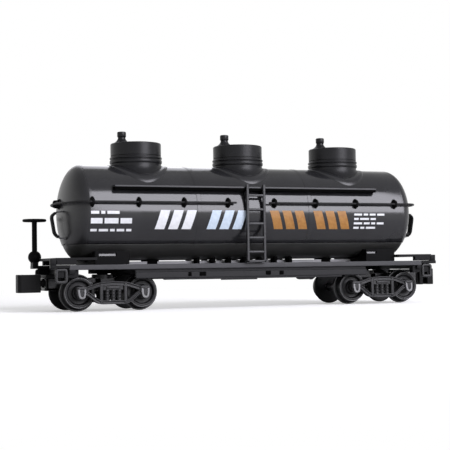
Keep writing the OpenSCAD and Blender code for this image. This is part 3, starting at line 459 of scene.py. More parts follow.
BELLY_R = TANK_Z - belly_low[2]
BELLY_DEPTH = HEAD_DEPTH - (TANK_R - BELLY_R)
STRAP_PROUD = 0.04
TREAD_T, TREAD_EDGE = 0.3, 0.15
# The board below the tread is painted near black: painted shade under the walkway.
BOARD_LIFT, BOARD_BACK, BOARD_EDGE = 0.35, 0.1, 0.04  # the board below the tread stands back


def meridian(radius, depth, start=0.0, rows=40, barrel_rows=14):
    """Place and radius along the tank from one head to the other: a quarter ellipse, the straight
    barrel and a quarter ellipse. `start` is the angle at which the ellipses begin."""
    angle = np.linspace(start, QUARTER, rows)
    x_head, r_head = BARREL + depth * np.cos(angle), radius * np.sin(angle)
    x_barrel = np.linspace(-BARREL, BARREL, barrel_rows)[1:-1]
    return (
        np.concatenate([-x_head, x_barrel, x_head[::-1]]),
        np.concatenate([r_head, np.full(len(x_barrel), radius), r_head[::-1]]),
    )


def tank_sheet(radius, depth, seam, above, cols):
    """Tank wall above or below a level seam. At radius r the wall meets the seam at the angle
    arcsin(h / r) below the horizontal, h being the seam's depth below the axis, and the sheet's
    second parameter runs between the two places where it does."""
    h = TANK_Z - seam
    x, r = meridian(radius, depth, 0.0 if above else math.asin(h / radius))
    dip = np.arcsin(np.minimum(1, h / np.maximum(r, 1e-9)))
    v = np.linspace(0, 1, cols)
    first, span = (-dip, np.pi + 2 * dip) if above else (np.pi + dip, np.pi - 2 * dip)
    angle = first[:, None] + span[:, None] * v
    grid = np.stack([np.broadcast_to(x[:, None], angle.shape), r[:, None] * np.cos(angle),
                     TANK_Z + r[:, None] * np.sin(angle)], -1)
    return sheet(grid)


def thicken(obj, thickness):
    """A wall of the given thickness in millimetres, inwards from the sheet."""
    wall = obj.modifiers.new("wall", "SOLIDIFY")
    wall.thickness = thickness * MM
    wall.offset = -1
    wall.use_even_offset = False


upper = piece("tank_upper", [tank_sheet(TANK_R, HEAD_DEPTH, SEAM_Z, True, 161)], tank_gloss,
              "chassis", "tank_black", "tank_shell", sharp=60, merge=True)
thicken(upper, SHELL_WALL)
lower = piece("tank_lower", [tank_sheet(BELLY_R, BELLY_DEPTH, belly_high[2], False, 65)], belly_satin,
              "chassis", "tank_black", "tank_belly", sharp=60, merge=True)
thicken(lower, SHELL_WALL)


def tank_top_at(y):
    """Height of the tank's surface at a distance y from its middle plane."""
    return TANK_Z + np.sqrt(TANK_R**2 - y**2)


def dome_shells(centre_x, top):
    """Saddle flange and wall of a dome. The flange is an ellipse that lies on the tank, thickens towards
    the sides with the sine squared and rolls down in a quarter ellipse. A fillet, wider towards the
    sides with the sine's fourth power, leads up to the wall, and half ellipses stand out as a bead and
    a rib."""
    wall_r, bore_r, lip = 4.45, 3.65, 0.03
    flange_x, flange_y, roll = 5.4, 6.65, 0.6
    flange_least, flange_extra, fillet_least, fillet_extra = 0.1, 0.3, 0.2, 0.9
    flange_sunk, bore_sunk, foot_sunk = 0.08, 0.06, 0.05
    bead_z, bead_half, bead_out = top - 1.05, 0.36, 0.17
    rib_z, rib_half, rib_out = top - 0.4, 0.2, 0.16
    wall_foot = bead_z - bead_half - 0.02
    angle = np.linspace(0, TURN, 96, endpoint=False)
    turn = np.linspace(0, QUARTER, 10)
    arch = np.linspace(0, np.pi, 11)

    def on_tank(radius, rise):
        """Ring that follows the tank at a height above its surface."""
        ring_x, ring_y = radius * np.cos(angle), radius * np.sin(angle)
        return np.stack([ring_x, ring_y, tank_top_at(ring_y) + rise], -1)

    def level(radius, z):
        """Level ring."""
        return np.stack([radius * np.cos(angle), radius * np.sin(angle), np.full(len(angle), z)], -1)

    flange_r = 1 / np.hypot(np.cos(angle) / flange_x, np.sin(angle) / flange_y)
    flange_t = flange_least + flange_extra * np.sin(angle) ** 2
    fillet = fillet_least + fillet_extra * np.sin(angle) ** 4
    fillet = np.minimum(fillet, wall_foot - flange_t - tank_top_at(wall_r * np.sin(angle)))
    flange = [on_tank(bore_r, -flange_sunk), on_tank(flange_r, -flange_sunk)]
    flange += [on_tank(flange_r - roll * (1 - np.cos(a)), flange_t * np.sin(a)) for a in turn]
    flange += [on_tank(bore_r, flange_t)]
    wall = [on_tank(bore_r, -bore_sunk), on_tank(wall_r + fillet, flange_t - foot_sunk)]
    wall += [on_tank(wall_r + fillet * (1 - np.sin(a)), flange_t + fillet * (1 - np.cos(a))) for a in turn]
    wall += [level(wall_r + bead_out * np.sin(a), bead_z - bead_half * np.cos(a)) for a in arch]
    wall += [level(wall_r + rib_out * np.sin(a), rib_z - rib_half * np.cos(a)) for a in arch]
    wall += [level(wall_r, top - lip), level(wall_r - lip, top), level(bore_r, top)]
    return [moved(skin(np.array(rings), loop=True), (centre_x, 0, 0)) for rings in (flange, wall)]


def lid_shell(centre_x, top):
    """Lid: a lathe profile with a small chamfer below, a rounded rim and a slightly crowned top."""
    lid_r, lid_t, rim, joint, crown = 4.45, 2.3, 0.28, 0.03, 0.04
    turn = np.linspace(0, QUARTER, 7)
    top_r = np.linspace(lid_r - rim, TIP_R, 8)[1:]
    profile = np.concatenate([
        [(SEAT, TIP_R), (SEAT, lid_r - 1.5 * joint), (SEAT + joint, lid_r)],
        np.stack([lid_t - rim + (rim - crown) * np.sin(turn), lid_r - rim * (1 - np.cos(turn))], 1),
        np.stack([lid_t - crown * (top_r / (lid_r - rim)) ** 2, top_r], 1),
    ])
    return lathe(profile, (centre_x, 0, top - lid_t), 2, 72)


def valve_shell(centre_x, top):
    """Safety valve: a rim, a flare that falls with the square from foot to neck, and a cap with a
    bevelled edge and a shallow cup in its top."""
    height, foot_r, neck_r, cap_r = 2.0, 1.25, 0.66, 0.78
    rim, neck_z, cap_z, bevel, step, round_in = 0.14, 0.98, 1.1, 0.16, 0.04, 0.03
    cup_r, cup_floor_r, cup_floor = 0.4, 0.34, height - 0.12
    t = np.linspace(0, 1, 9)
    flare = np.stack([rim + (neck_z - rim) * t, neck_r + (foot_r - step - neck_r) * (1 - t) ** 2], 1)
    profile = np.concatenate([
        [(-GRAFT, foot_r), (rim - step, foot_r)], flare,
        [(cap_z - round_in, cap_r - step), (cap_z + round_in, cap_r), (height - bevel, cap_r),
         (height - bevel * 0.4, cap_r - bevel * 0.25), (height, cap_r - bevel), (height, cup_r),
         (cup_floor, cup_floor_r)],
    ])
    return turned(profile, (centre_x, 0, top - height), 2, 40)


for i in (1, 2, 3):
    centre_x = centre(f"dome_{i}")[0]
    flange, wall = dome_shells(centre_x, corners(f"dome_{i}")[1][2])
    piece(f"dome_{i}_body", [wall], dome_satin, "chassis", "tank_black", f"dome_{i}")
    piece(f"dome_{i}_flange", [flange], flange_satin, "chassis", "tank_black")
    lid = lid_shell(centre_x, corners(f"dome_lid_{i}")[1][2])
    piece(f"dome_{i}_cover", [lid], lid_satin, "chassis", "tank_black", f"dome_lid_{i}")
    valve = valve_shell(centre(f"safety_valve_{i}")[0], corners(f"safety_valve_{i}")[1][2])
    piece(f"dome_{i}_valve", [valve], dome_satin, "chassis", "fitting_black", f"safety_valve_{i}")


def strap_shell(x, width, proud):
    """Band over the tank from seam to seam: a rounded strip carried along an arc."""
    sunk, edge = 0.05, 0.05
    dip = math.asin((TANK_Z - SEAM_Z) / TANK_R)
    angle = np.linspace(-dip, np.pi + dip, 121)
    mid_r = TANK_R + proud / 2 - sunk
    path = np.stack([np.full(len(angle), x), mid_r * np.cos(angle), TANK_Z + mid_r * np.sin(angle)], 1)
    half = proud / 2 + sunk
    return sweep(path, bar_section(half, width / 2, edge), X_AXIS)


for end, _ in ENDS:
    low, high = corners(f"tank_strap_{end}")
    strap = strap_shell((low[0] + high[0]) / 2, high[0] - low[0], STRAP_PROUD)
    piece(f"tank_band_{end}", [strap], tank_gloss, "chassis", "tank_black", f"tank_strap_{end}")


def walkway_shell(low, high, base, top, set_back, edge, facing):
    """Part of a walkway between two heights: a front with a rounded upper edge, and an inner side that
    follows the tank."""
    strip, foot_edge, end_edge = 0.2, 0.04, 0.05
    out = max(abs(low[1]), abs(high[1])) - set_back
    rise = np.linspace(top, base, 9)
    seat = np.stack([np.sqrt(SEAT_R**2 - (rise - TANK_Z) ** 2), rise], 1)
    front = [(out - strip, base), (out, base), (out, top), (out - strip, top)]
    front = soften(front, [0, foot_edge, edge, 0], 4, False)
    return slab(np.concatenate([front, seat]) * (facing, 1), low[0], high[0], end_edge, CROSS)


def ladder_shells(low, high, facing):
    """Ladder: two stiles, evenly spaced rungs and a foot, all of rounded bar. Under the walkway, where
    the tank curves away, each stile has a web behind it."""
    stile, rung, foot, edge = 0.5, 0.42, 1.4, 0.1
    rungs, rung_first, rung_drop = 5, 2.1, 1.7
    web, web_in, web_low, web_high = 0.62, 0.04, TANK_Z + 2.7, corners("walkway_near")[0][2] + 0.3
    out = facing * max(abs(low[1]), abs(high[1]))
    back = out - facing * stile
    slack = facing * (stile - rung) / 2
    stile_x = (low[0], high[0] - stile)
    shells = [block((x, back, low[2]), (x + stile, out, high[2]), edge) for x in stile_x]
    shells += [block((x + web_in, back + facing * GRAFT, web_low),
                     (x + stile - web_in, back - facing * web, web_high), edge) for x in stile_x]
    rung_low, rung_high = low[0] + stile / 2, high[0] - stile / 2
    shells += [block((rung_low, back + slack, z), (rung_high, out - slack, z + rung), edge)
               for z in np.linspace(DECK_TOP + rung_first - rung, high[2] - rung_drop - rung, rungs)]
    return shells + [block((low[0], out, low[2]), (high[0], out - facing * foot, low[2] + rung), edge)]


for side, facing in SIDES:
    low, high = corners(f"walkway_{side}")
    joint = high[2] - TREAD_T
    board = walkway_shell(low, high, low[2] + BOARD_LIFT, joint, BOARD_BACK, BOARD_EDGE, facing)
    tread = walkway_shell(low, high, joint, high[2], 0, TREAD_EDGE, facing)
    piece(f"walkway_board_{side}", [board], shade_black, "chassis", "tank_black", f"walkway_{side}")
    piece(f"walkway_tread_{side}", [tread], fitting_satin, "chassis", "tank_black")
    ladder = ladder_shells(*corners(f"ladder_{side}"), facing)
    piece(f"ladder_frame_{side}", ladder, fitting_satin, "chassis", "fitting_black", f"ladder_{side}")

rail_high = corners("handrail_a")[1]
RAIL_Z = centre("handrail_a")[2]
RAIL_Y = rail_high[1] - RAIL_R - RAIL_BEAD
WRAP_X = rail_high[0] - RAIL_R
POST_SUNK, END_POST_SUNK = 0.2, 0.35


def handrail_path(free_x):
    """Centre line of the rail of the +X end: straight along the side, a bend of radius b, one wide arc
    of radius R round the head, and the same back. The arc's half angle a follows from
    (R - b) sin a = side - b and (R - b)(1 - cos a) = depth - b."""
    depth, side = WRAP_X - BARREL, RAIL_Y - RAIL_SET
    half = 2 * math.atan2(depth - RAIL_BEND, side - RAIL_BEND)
    wrap_r = RAIL_BEND + (side - RAIL_BEND) / math.sin(half)
    bend = np.linspace(0, QUARTER - half, 14)
    corner = np.stack([BARREL + RAIL_BEND * np.sin(bend), side - RAIL_BEND * (1 - np.cos(bend))], 1)
    wrap = np.linspace(half, 0, 16)[1:]
    arc = np.stack([WRAP_X - wrap_r * (1 - np.cos(wrap)), wrap_r * np.sin(wrap)], 1)
    along = np.linspace(free_x, BARREL, 12)[:-1]
    straight = np.stack([along, np.full(len(along), side)], 1)
    half_way = np.concatenate([straight, corner, arc])
    flat = np.concatenate([half_way, half_way[-2::-1] * (1, -1)])
    return np.column_stack([flat, np.full(len(flat), RAIL_Z)])


def post_shell(root, reach):
    """Handrail post along +Y: upright ovals from the tank to just past the wire, wide at the foot,
    drawn in to a neck and rounded off over the wire. A profile point is (place, size of the oval), and
    the oval's width follows the cosine to the power 0.9."""
    width, height, fullness = 0.4, 0.925, 0.9
    profile = np.array([(root, 1.0), (root + 0.34, 1.0), (root + 0.46, 0.94), (root + 0.54, 0.8),
                        (reach - 0.12, 0.74), (reach, 0.68), (reach + 0.1, 0.52), (reach + 0.16, 0.25)])
    place, size = profile[:, :1], profile[:, 1:]
    angle = np.linspace(0, TURN, 28, endpoint=False)
    lean = np.sign(np.cos(angle)) * np.abs(np.cos(angle)) ** fullness
    rings = np.stack(np.broadcast_arrays(size * width * lean, place, size * height * np.sin(angle)), -1)
    return moved(skin(rings), (0, 0, RAIL_Z))


for end, sign in ENDS:
    low, high = corners(f"handrail_{end}")
    free_x = low[0] if sign > 0 else -high[0]
    rail = wire(handrail_path(free_x + RAIL_R), RAIL_R - RAIL_SLIM, Z_AXIS, 14)
    piece(f"rail_wire_{end}", mirrored([rail], sign), wire_satin, "chassis", "fitting_black",
          f"handrail_{end}")

tank_half = math.sqrt(TANK_R**2 - (RAIL_Z - TANK_Z) ** 2)
side_post = post_shell(tank_half - POST_SUNK, RAIL_Y)
posts = [moved(side_post, (sign * x + POST_SHIFT, 0, 0), (1, facing, 1))
         for x in np.linspace(POST_FIRST, POST_LAST, POST_COUNT) for sign in BOTH for facing in BOTH]
points, quads, caps = post_shell(POLE_X - END_POST_SUNK, WRAP_X)
posts += [(points[:, [1, 0, 2]] * (sign, 1, 1), quads, caps) for sign in BOTH]
piece("rail_posts", posts, rail_black, "chassis", "fitting_black", "handrail_posts")


def grab_shells(low, high):
    """Bent strip on the head of the +X end: a flat section carried along an upright that leans back
    towards its foot, and a slimmer one along each of the two slanting legs."""
    strip, width, edge = 0.42, high[1] - low[1], 0.1
    out, mid_y, mid_z = max(abs(low[0]), abs(high[0])) - strip / 2, (low[1] + high[1]) / 2, TANK_Z - 1.9
    half, drop, lean, bend, overlap = 1.3, 0.4, 0.5, 1.35, 0.12
    leg_slim, leg_rise, knee = 0.6, 0.55, 0.3
    section = bar_section(strip / 2, width / 2, edge)

    def bar(line, scale):
        """The section along a line in the X-Z plane."""
        return sweep(standing_path(soften(line, 0.5, 5, False), mid_y), section, Y_AXIS, scale)

    upper = (out - bend / 2, mid_z + half + bend / 2 - overlap)
    lower = (out - lean - bend / 2, mid_z - half - drop - bend / 2 + overlap)
    upright = bar([upper, (out, mid_z + half), (out - lean, mid_z - half - drop), lower], 1.0)
    legs = [bar([(BARREL, z + rise), (x - knee, z + knee * rise), (x, z)], leg_slim)
            for (x, z), rise in ((upper, leg_rise), (lower, -leg_rise))]
    return upright, legs


for end, sign in ENDS:
    upright, legs = grab_shells(*corners(f"end_grab_{end}"))
    piece(f"head_grab_{end}", mirrored([upright], sign), rail_black, "chassis", "fitting_black",
          f"end_grab_{end}")
    piece(f"grab_legs_{end}", mirrored(legs, sign), tank_gloss, "chassis", "fitting_black")


# Printed marks: a generic pattern of bars and dashes

BAR_LOW, BAR_HIGH, BAR_W, BAR_PITCH, BAR_LEAN = 13.75, 17.0, 1.7, 2.4, 1.0
WHITE_X, BLUE_X, AMBER_X = -18.6, -9.2, (3.6, 12.1)
DASH_GAP = 0.35
LEFT_X, RIGHT_X = -29.8, 19.4
# Rows of dashes: height, thickness and lengths
LEFT_ROWS = (
    (16.3, 0.5, (1.4, 0.7, 2.1)),
    (14.7, 0.9, (2.0, 2.4, 2.0)),
    (13.4, 0.4, (1.1, 1.6, 0.8, 1.3, 0.9)),
)
RIGHT_ROWS = (
    (16.2, 0.36, (1.6, 0.9, 1.2, 1.5)),
    (15.4, 0.36, (0.9, 1.8, 1.1)),
    (14.6, 0.36, (1.7, 1.2, 0.8, 1.4)),
    (13.8, 0.36, (1.1, 0.8, 1.9)),
)


def mark(x_low, x_high, z_low, z_high, slant, facing):
    """Thin patch on the tank's side. Across it the angle runs between two heights, along it x runs
    between two places, and the slant shifts x with the height."""
    proud, sunk, rows = 0.012, 0.03, 7
    rise = np.linspace(z_low, z_high, rows)
    lean = slant * (rise - z_low) / (z_high - z_low)
    tilt = np.arcsin((rise - TANK_Z) / TANK_R)
    ring_r = np.repeat([TANK_R + proud, TANK_R - sunk], rows)
    ring_a = np.concatenate([tilt, tilt[::-1]])
    ring_x = np.concatenate([lean, lean[::-1]])
    along = np.linspace(x_low, x_high, 3)
    rings = np.stack(np.broadcast_arrays(along[:, None] + ring_x, facing * ring_r * np.cos(ring_a),
                                         TANK_Z + ring_r * np.sin(ring_a)), -1)
    return moved(skin(rings), flip=(-facing, 1, 1))


def dashes(x_low, rows, facing):
    """Rows of dashes: each row has its own height and a list of dash lengths with even gaps."""
    shells = []
    for z, height, lengths in rows:
        ends = x_low + np.cumsum(np.array(lengths) + DASH_GAP) - DASH_GAP
        shells += [mark(end - length, end, z, z + height, 0, facing) for length, end in zip(lengths, ends)]
    return shells


def bars(x_low, slant, facing):
    """Three slanting bars side by side."""
    return [mark(x, x + BAR_W, BAR_LOW, BAR_HIGH, slant, facing) for x in x_low + BAR_PITCH * np.arange(3)]


for side, facing in SIDES:
    whites = dashes(LEFT_X, LEFT_ROWS, facing) + dashes(RIGHT_X, RIGHT_ROWS, facing)
    whites += bars(WHITE_X, BAR_LEAN, facing)
    ambers = [bar for x in AMBER_X for bar in bars(x, -BAR_LEAN, facing)]
    piece(f"print_white_{side}", whites, ink_white, "chassis", None)
    piece(f"print_blue_{side}", bars(BLUE_X, BAR_LEAN, facing), ink_blue, "chassis", None)
    piece(f"print_amber_{side}", ambers, ink_amber, "chassis", None)


# Underframe

DECK_HALF, DECK_Y, END_TOP = corners("underframe")[1]
BAY_X, HORN_IN, HORN_LOW = DECK_HALF - 3.1, DECK_Y - 1.1, DECK_TOP - 0.55
STAFF_REACH = 0.225  # how far the horn under the hand brake reaches inwards from the staff
END_T, END_Y = 1.0, 8.0
END_SILL_T, END_SILL_DROP, END_SILL_IN = 1.0, 0.68, 0.02
BRACKET_DROP, BRACKET_IN, BRACKET_LIP, BRACKET_OUT = 1.3, 6.4, 7.2, 7.7
BRACKET_BACK, BRACKET_AHEAD, HORN_ROOT = 1.7, 1.9, 0.2
SILL_HALF, SILL_IN, SILL_FOOT, SILL_FACE_TOP = 22.0, 0.3, DECK_BOTTOM - 1.6, DECK_BOTTOM - 0.55
LIP_HALF, LIP_LOW, LIP_HIGH = SILL_HALF - 5.0, SILL_FOOT - 0.28, SILL_FOOT + GRAFT
LUMP, LUMP_LOW, LUMP_HIGH = (-6.5, 0.3), SILL_FOOT - 0.47, SILL_FOOT - 0.1
BOLSTER_HALF, BOLSTER_Y, BOLSTER_DROP = 1.9, 2.5, 0.7
BEARER_HALF, BEARER_Y, BEARER_GAP = saddle_low[0] - 0.5, 1.3, 0.06
CHOCK_HALF, CHOCK_Y = 0.3, 3.0
CHOCK_PLACES = 3.0 * np.arange(-3, 4)
# Sill clips: small brackets on the sill's face, partly real and partly painted shade, since they are near
# black for the shade round them.
CLIP_PLACES = ((-12.65, -12.05), (-10.6, -9.4), (1.85, 2.8), (4.5, 5.3))
CLIP_LOW, CLIP_HIGH = SILL_FOOT + 0.3, SILL_FACE_TOP - 0.05
SCREW_X = 17.0
CENTRE_RISE, CENTRE_BEVEL_Y, CENTRE_BEVEL_Z = 0.35, 0.4, 0.5


def under_tank(half_w, base, top, steps=17):
    """Cross-section of a support below the tank: a level base, upright sides to `top` and a hollow
    that follows the tank between them."""
    least_top = 0.2
    reach = min(half_w, math.sqrt(max(SEAT_R**2 - (TANK_Z - top) ** 2, 0.0)))
    y = np.linspace(reach, -reach, steps)
    hollow = np.stack([y, TANK_Z - np.sqrt(SEAT_R**2 - y**2)], 1)
    sides = [(-half_w, base), (half_w, base)]
    if half_w - reach > least_top:
        return np.concatenate([sides, [(half_w, top)], hollow, [(-half_w, top)]])
    return np.concatenate([sides, hollow])


def sill_outline(facing):
    """Cross-section of a side sill: a shadow groove under the deck, a flat face and a rolled foot."""
    outer, depth, groove, bevel, slope = DECK_Y - SILL_IN, 0.6, 0.35, 0.1, 0.05
    top = DECK_BOTTOM + GRAFT
    line = [(outer - depth, SILL_FOOT), (outer - bevel, SILL_FOOT), (outer, SILL_FOOT + bevel),
            (outer, SILL_FACE_TOP), (outer - groove, SILL_FACE_TOP + slope), (outer - groove, top),
            (outer - depth, top)]
    return soften(line, 0.06, 3) * (facing, 1)


def side_pair(x_low, x_high, face, back, z_low, z_high, edge):
    """The same rounded box on both sides. Its face and back are given inwards from the deck's edge."""
    outer, inner = DECK_Y - face, DECK_Y - back
    return [block((x_low, f * outer, z_low), (x_high, f * inner, z_high), edge) for f in BOTH]


def end_shells(sign):
    """One end of the underframe: the end sill and, on both sides, a horn with its end block and two
    corner brackets, all rounded boxes."""
    inner, bracket_low = sign * (BAY_X - HORN_ROOT), DECK_BOTTOM - BRACKET_DROP
    shells = [block((sign * (BAY_X - END_SILL_T), END_SILL_IN - DECK_Y, DECK_BOTTOM - END_SILL_DROP),
                    (sign * BAY_X, DECK_Y - END_SILL_IN, DECK_BOTTOM + GRAFT))]
    for f in BOTH:
        horn_in = corners("brake_staff")[0][1] - STAFF_REACH if sign < 0 < f else HORN_IN
        shells += [
            block((inner, f * horn_in, HORN_LOW), (sign * DECK_HALF, f * DECK_Y, DECK_TOP)),
            block((sign * (DECK_HALF - END_T), f * horn_in, DECK_TOP - GRAFT),
                  (sign * DECK_HALF, f * END_Y, END_TOP)),
            block((sign * (BAY_X - BRACKET_BACK), f * BRACKET_IN, bracket_low),
                  (sign * BAY_X, f * BRACKET_OUT, DECK_BOTTOM + GRAFT)),
            block((inner, f * BRACKET_LIP, bracket_low),
                  (sign * (BAY_X + BRACKET_AHEAD), f * BRACKET_OUT, HORN_LOW + GRAFT)),
        ]
    return shells


def support_shells(sign):
    """Body bolster over a truck, a rounded box, and the pillar round a body screw, a lathe profile."""
    foot_r, pillar_r, height, sunk = 1.75, 1.6, 0.9, 0.02
    pillar = [(0, foot_r), (0.12, 1.62), (0.5, pillar_r), (height, pillar_r)]
    return [
        block((sign * TRUCK_X - BOLSTER_HALF, -BOLSTER_Y, DECK_BOTTOM - BOLSTER_DROP),
              (sign * TRUCK_X + BOLSTER_HALF, BOLSTER_Y, DECK_BOTTOM + GRAFT), 0.12),
        turned(pillar, (sign * SCREW_X, 0, DECK_TOP - sunk), 2, 32),
    ]


deck = [block((-BAY_X, -DECK_Y, DECK_BOTTOM), (BAY_X, DECK_Y, DECK_TOP), 0.11)]
sills = [slab(sill_outline(f), -SILL_HALF, SILL_HALF, 0.08, CROSS) for f in BOTH]
sills += side_pair(-LIP_HALF, LIP_HALF, face=0.45, back=0.9, z_low=LIP_LOW, z_high=LIP_HIGH, edge=0.06)
sills += side_pair(*LUMP, face=0.45, back=0.85, z_low=LUMP_LOW, z_high=LUMP_HIGH, edge=0.06)
ends = end_shells(-1) + end_shells(1)
supports = support_shells(-1) + support_shells(1)
chock = under_tank(CHOCK_Y, DECK_TOP - GRAFT, TANK_Z)
supports += [slab(chock, x - CHOCK_HALF, x + CHOCK_HALF, 0.05, CROSS) for x in CHOCK_PLACES]
for x_low, x_high in CLIP_PLACES:
    supports += side_pair(x_low, x_high, face=0.2, back=0.4, z_low=CLIP_LOW, z_high=CLIP_HIGH, edge=0.05)
# The bearer fills the gap under the tank. Its pale grey is painted light, not the colour of the part.
bearer = [block((-BEARER_HALF, -BEARER_Y, DECK_TOP - GRAFT),
                (BEARER_HALF, BEARER_Y, TANK_Z - TANK_R - BEARER_GAP), 0.04)]
piece("deck_plate", deck, frame_matte, "chassis", "frame_black", "underframe")
piece("side_sills", sills, sill_shade_matte, "chassis", "frame_black")
piece("deck_ends", ends, end_shade_black, "chassis", "frame_black")
# The supports, chocks and sill clips are painted near black: painted shade under the tank and the deck.
piece("tank_supports", supports, shade_black, "chassis", "frame_black")
piece("tank_bearer", bearer, gap_light_grey, "chassis", "frame_black")


def centre_sill_shell(low, high):
    """Centre sill: a cross-section with bevelled lower corners, carried along the wagon."""
    foot = low[2] + CENTRE_RISE
    shoulder, bevel = foot + CENTRE_BEVEL_Z, CENTRE_BEVEL_Y
    line = [(low[1], shoulder), (low[1] + bevel, foot), (high[1] - bevel, foot), (high[1], shoulder),
            (high[1], high[2]), (low[1], high[2])]
    return slab(soften(line, 0.15), low[0], high[0], 0.3, CROSS)


piece("centre_beam", [centre_sill_shell(*corners("centre_sill"))], sill_shade_matte, "chassis", "frame_black",
      "centre_sill")

# Slots of the saddles: places along the wagon and heights
SLOTS = {"b": ((-28.0, -25.0), (9.3, 9.8)), "a": ((22.9, 24.9), (9.3, 9.75))}
SLOT_DEPTH = 1.0
PLATFORM_T, PLATFORM_BACK = 0.45, 0.9
NOTCH = (DECK_HALF - 0.45, 6.5, 1.65)  # middle and radius of the notch round the hand brake
LEG_HALF, LEG_IN, SHORT_LEG_OUT = 0.45, DECK_HALF - 4.4, DECK_HALF - 2.1
LEG_Y = END_Y - LEG_HALF


def saddle_shells(low, high, slot_x, slot_z):
    """Saddle: two end parts and a slotted middle, all with the hollow of the tank."""
    half_w, floor, edge = high[1], high[1] - SLOT_DEPTH, 0.07
    full = under_tank(half_w, low[2], high[2])
    hollow = full[3:-1]
    right = [(half_w, low[2]), (half_w, slot_z[0]), (floor, slot_z[0]), (floor, slot_z[1]),
             (half_w, slot_z[1]), (half_w, high[2])]
    left = [(-y, z) for y, z in right[::-1]]
    slotted = np.concatenate([right, hollow, left])
    return [slab(full, low[0], slot_x[0], edge, CROSS), slab(full, slot_x[1], high[0], edge, CROSS),
            slab(slotted, slot_x[0] - edge, slot_x[1] + edge, 0.01, CROSS)]


def slot_face(half_w, slot_x, slot_z, facing):
    """Wedge that closes a saddle's slot: its outer face leans back by 0.21 of its height."""
    lean, graft = 0.21, 0.05
    front, back = half_w - 0.25, half_w - SLOT_DEPTH - GRAFT
    base, top = slot_z[0] - graft, slot_z[1] + graft
    line = np.array([(front, base), (front - lean * (top - base), top), (back, top), (back, base)])
    return slab(line * (facing, 1), slot_x[0] - graft, slot_x[1] + graft, 0.02, CROSS)


def platform_outline(low, high, notch):
    """Plan of an end platform of the +X end: a rectangle whose inner side has a bay round the saddle
    and the tank's head, which is an ellipse at a clearance cut at the board's height. At the brake's
    corner a circle takes out a notch between the places where it meets the two edges."""
    clear = 0.5
    half, inner, outer = high[1], low[0], high[0] - PLATFORM_BACK
    bay_x, bay_y = saddle_high[0] + clear, saddle_high[1] + clear
    drop = TANK_Z - high[2]
    head = np.linspace(math.asin(drop / (TANK_R + clear)), QUARTER, 9)
    head_x = BARREL + (HEAD_DEPTH + clear) * np.cos(head)
    head_y = np.sqrt(np.maximum(((TANK_R + clear) * np.sin(head)) ** 2 - drop**2, 0))
    arc = np.stack([head_x, head_y], 1)
    bay = np.concatenate([[(bay_x, bay_y), (bay_x, head_y[-1])], arc[::-1], arc[1:] * (1, -1),
                          [(bay_x, -head_y[-1]), (bay_x, -bay_y)]])
    corner = [(outer, half)]
    if notch:
        x, y, r = NOTCH
        first = math.atan2(-math.sqrt(r**2 - (outer - x) ** 2), outer - x)
        last = math.atan2(half - y, -math.sqrt(r**2 - (half - y) ** 2)) - TURN
        turn = np.linspace(first, last, 14)
        corner = np.stack([x + r * np.cos(turn), y + r * np.sin(turn)], 1)
    return np.concatenate([[(inner, -bay_y), (inner, -half), (outer, -half)], corner,
                           [(inner, half), (inner, bay_y)], bay])


def platform_shells(low, high, notch):
    """End platform of the +X end: a board and two legs. The leg behind the notch is shorter."""
    board_low = high[2] - PLATFORM_T
    shells = [slab(platform_outline(low, high, notch), board_low, high[2], 0.06)]
    for f in BOTH:
        leg_out = SHORT_LEG_OUT if notch and f > 0 else DECK_HALF - END_T - SEAT
        shells.append(block((LEG_IN, f * LEG_Y - LEG_HALF, low[2]),
                            (leg_out, f * LEG_Y + LEG_HALF, board_low + GRAFT), 0.07))
    return shells


for end, sign in ENDS:
    low, high = corners(f"saddle_{end}")
    saddle = saddle_shells(low, high, *SLOTS[end])
    faces = [slot_face(high[1], *SLOTS[end], f) for f in BOTH]
    platform = platform_shells(*corners("end_platform_a"), notch=end == "b")
    piece(f"saddle_block_{end}", saddle, rail_black, "chassis", "frame_black", f"saddle_{end}")
    piece(f"saddle_slots_{end}", faces, tank_gloss, "chassis", "frame_black")
    piece(f"platform_board_{end}", mirrored(platform, sign), end_shade_black, "chassis", "frame_black",
          f"end_platform_{end}")


def stirrup_shell(low, high):
    """Stirrup of the near corner of the +X end: a rounded bar carried round a closed rectangle."""
    half, length = 0.225, 2.1
    right, left = high[0] - half, high[0] - length + half
    line = soften(rectangle((left, low[2] + half), (right, high[2] - half)), 0.35, 5)
    return sweep(standing_path(line, low[1] + half), bar_section(half, half, 0.1, 3), Y_AXIS, loop=True)


stirrup = stirrup_shell(*corners("stirrup_steps"))
piece("corner_steps", [moved(stirrup, flip=(x, y, 1)) for x in BOTH for y in BOTH], truck_satin, "chassis",
      "frame_black", "stirrup_steps")


# Brakes and screws

BALL_FLOOR, BALL_CUT = 0.43, 0.15  # floor under the staff, and how much of the ball's foot is cut off
WHEEL_WIRE = 0.25  # radius of the hand wheel's rim
SPOKES = 5
SCREW_HEAD = 0.6


def drum_shells(low, high):
    """Brake cylinder along X: a lathe profile with a rod at both ends, a rounded back and a band near
    its front, and the block that hangs it from the deck."""
    drum_r, half, rod_r, rod, hanger, step = 1.15, 1.7, 0.4, 2.3, 0.6, 0.06
    body_r, back_r, front_r, band, slope = drum_r - step, 0.8, 0.95, (1.0, 1.38), 0.04
    middle = (low + high) / 2
    axis_z = low[2] + drum_r
    profile = [(-rod, rod_r - step), (step - rod, rod_r), (-half, rod_r), (-half, back_r), (0.2 - half, 1.02),
               (0.5 - half, body_r), (band[0], body_r), (band[0] + slope, drum_r), (band[1] - slope, drum_r),
               (band[1], body_r), (half, front_r), (half, rod_r), (rod - step, rod_r), (rod, rod_r - step)]
    return [turned(profile, (middle[0], middle[1], axis_z), 0, 40),
            block((middle[0] - hanger, middle[1] - hanger, axis_z),
                  (middle[0] + hanger, middle[1] + hanger, high[2]), 0.08)]


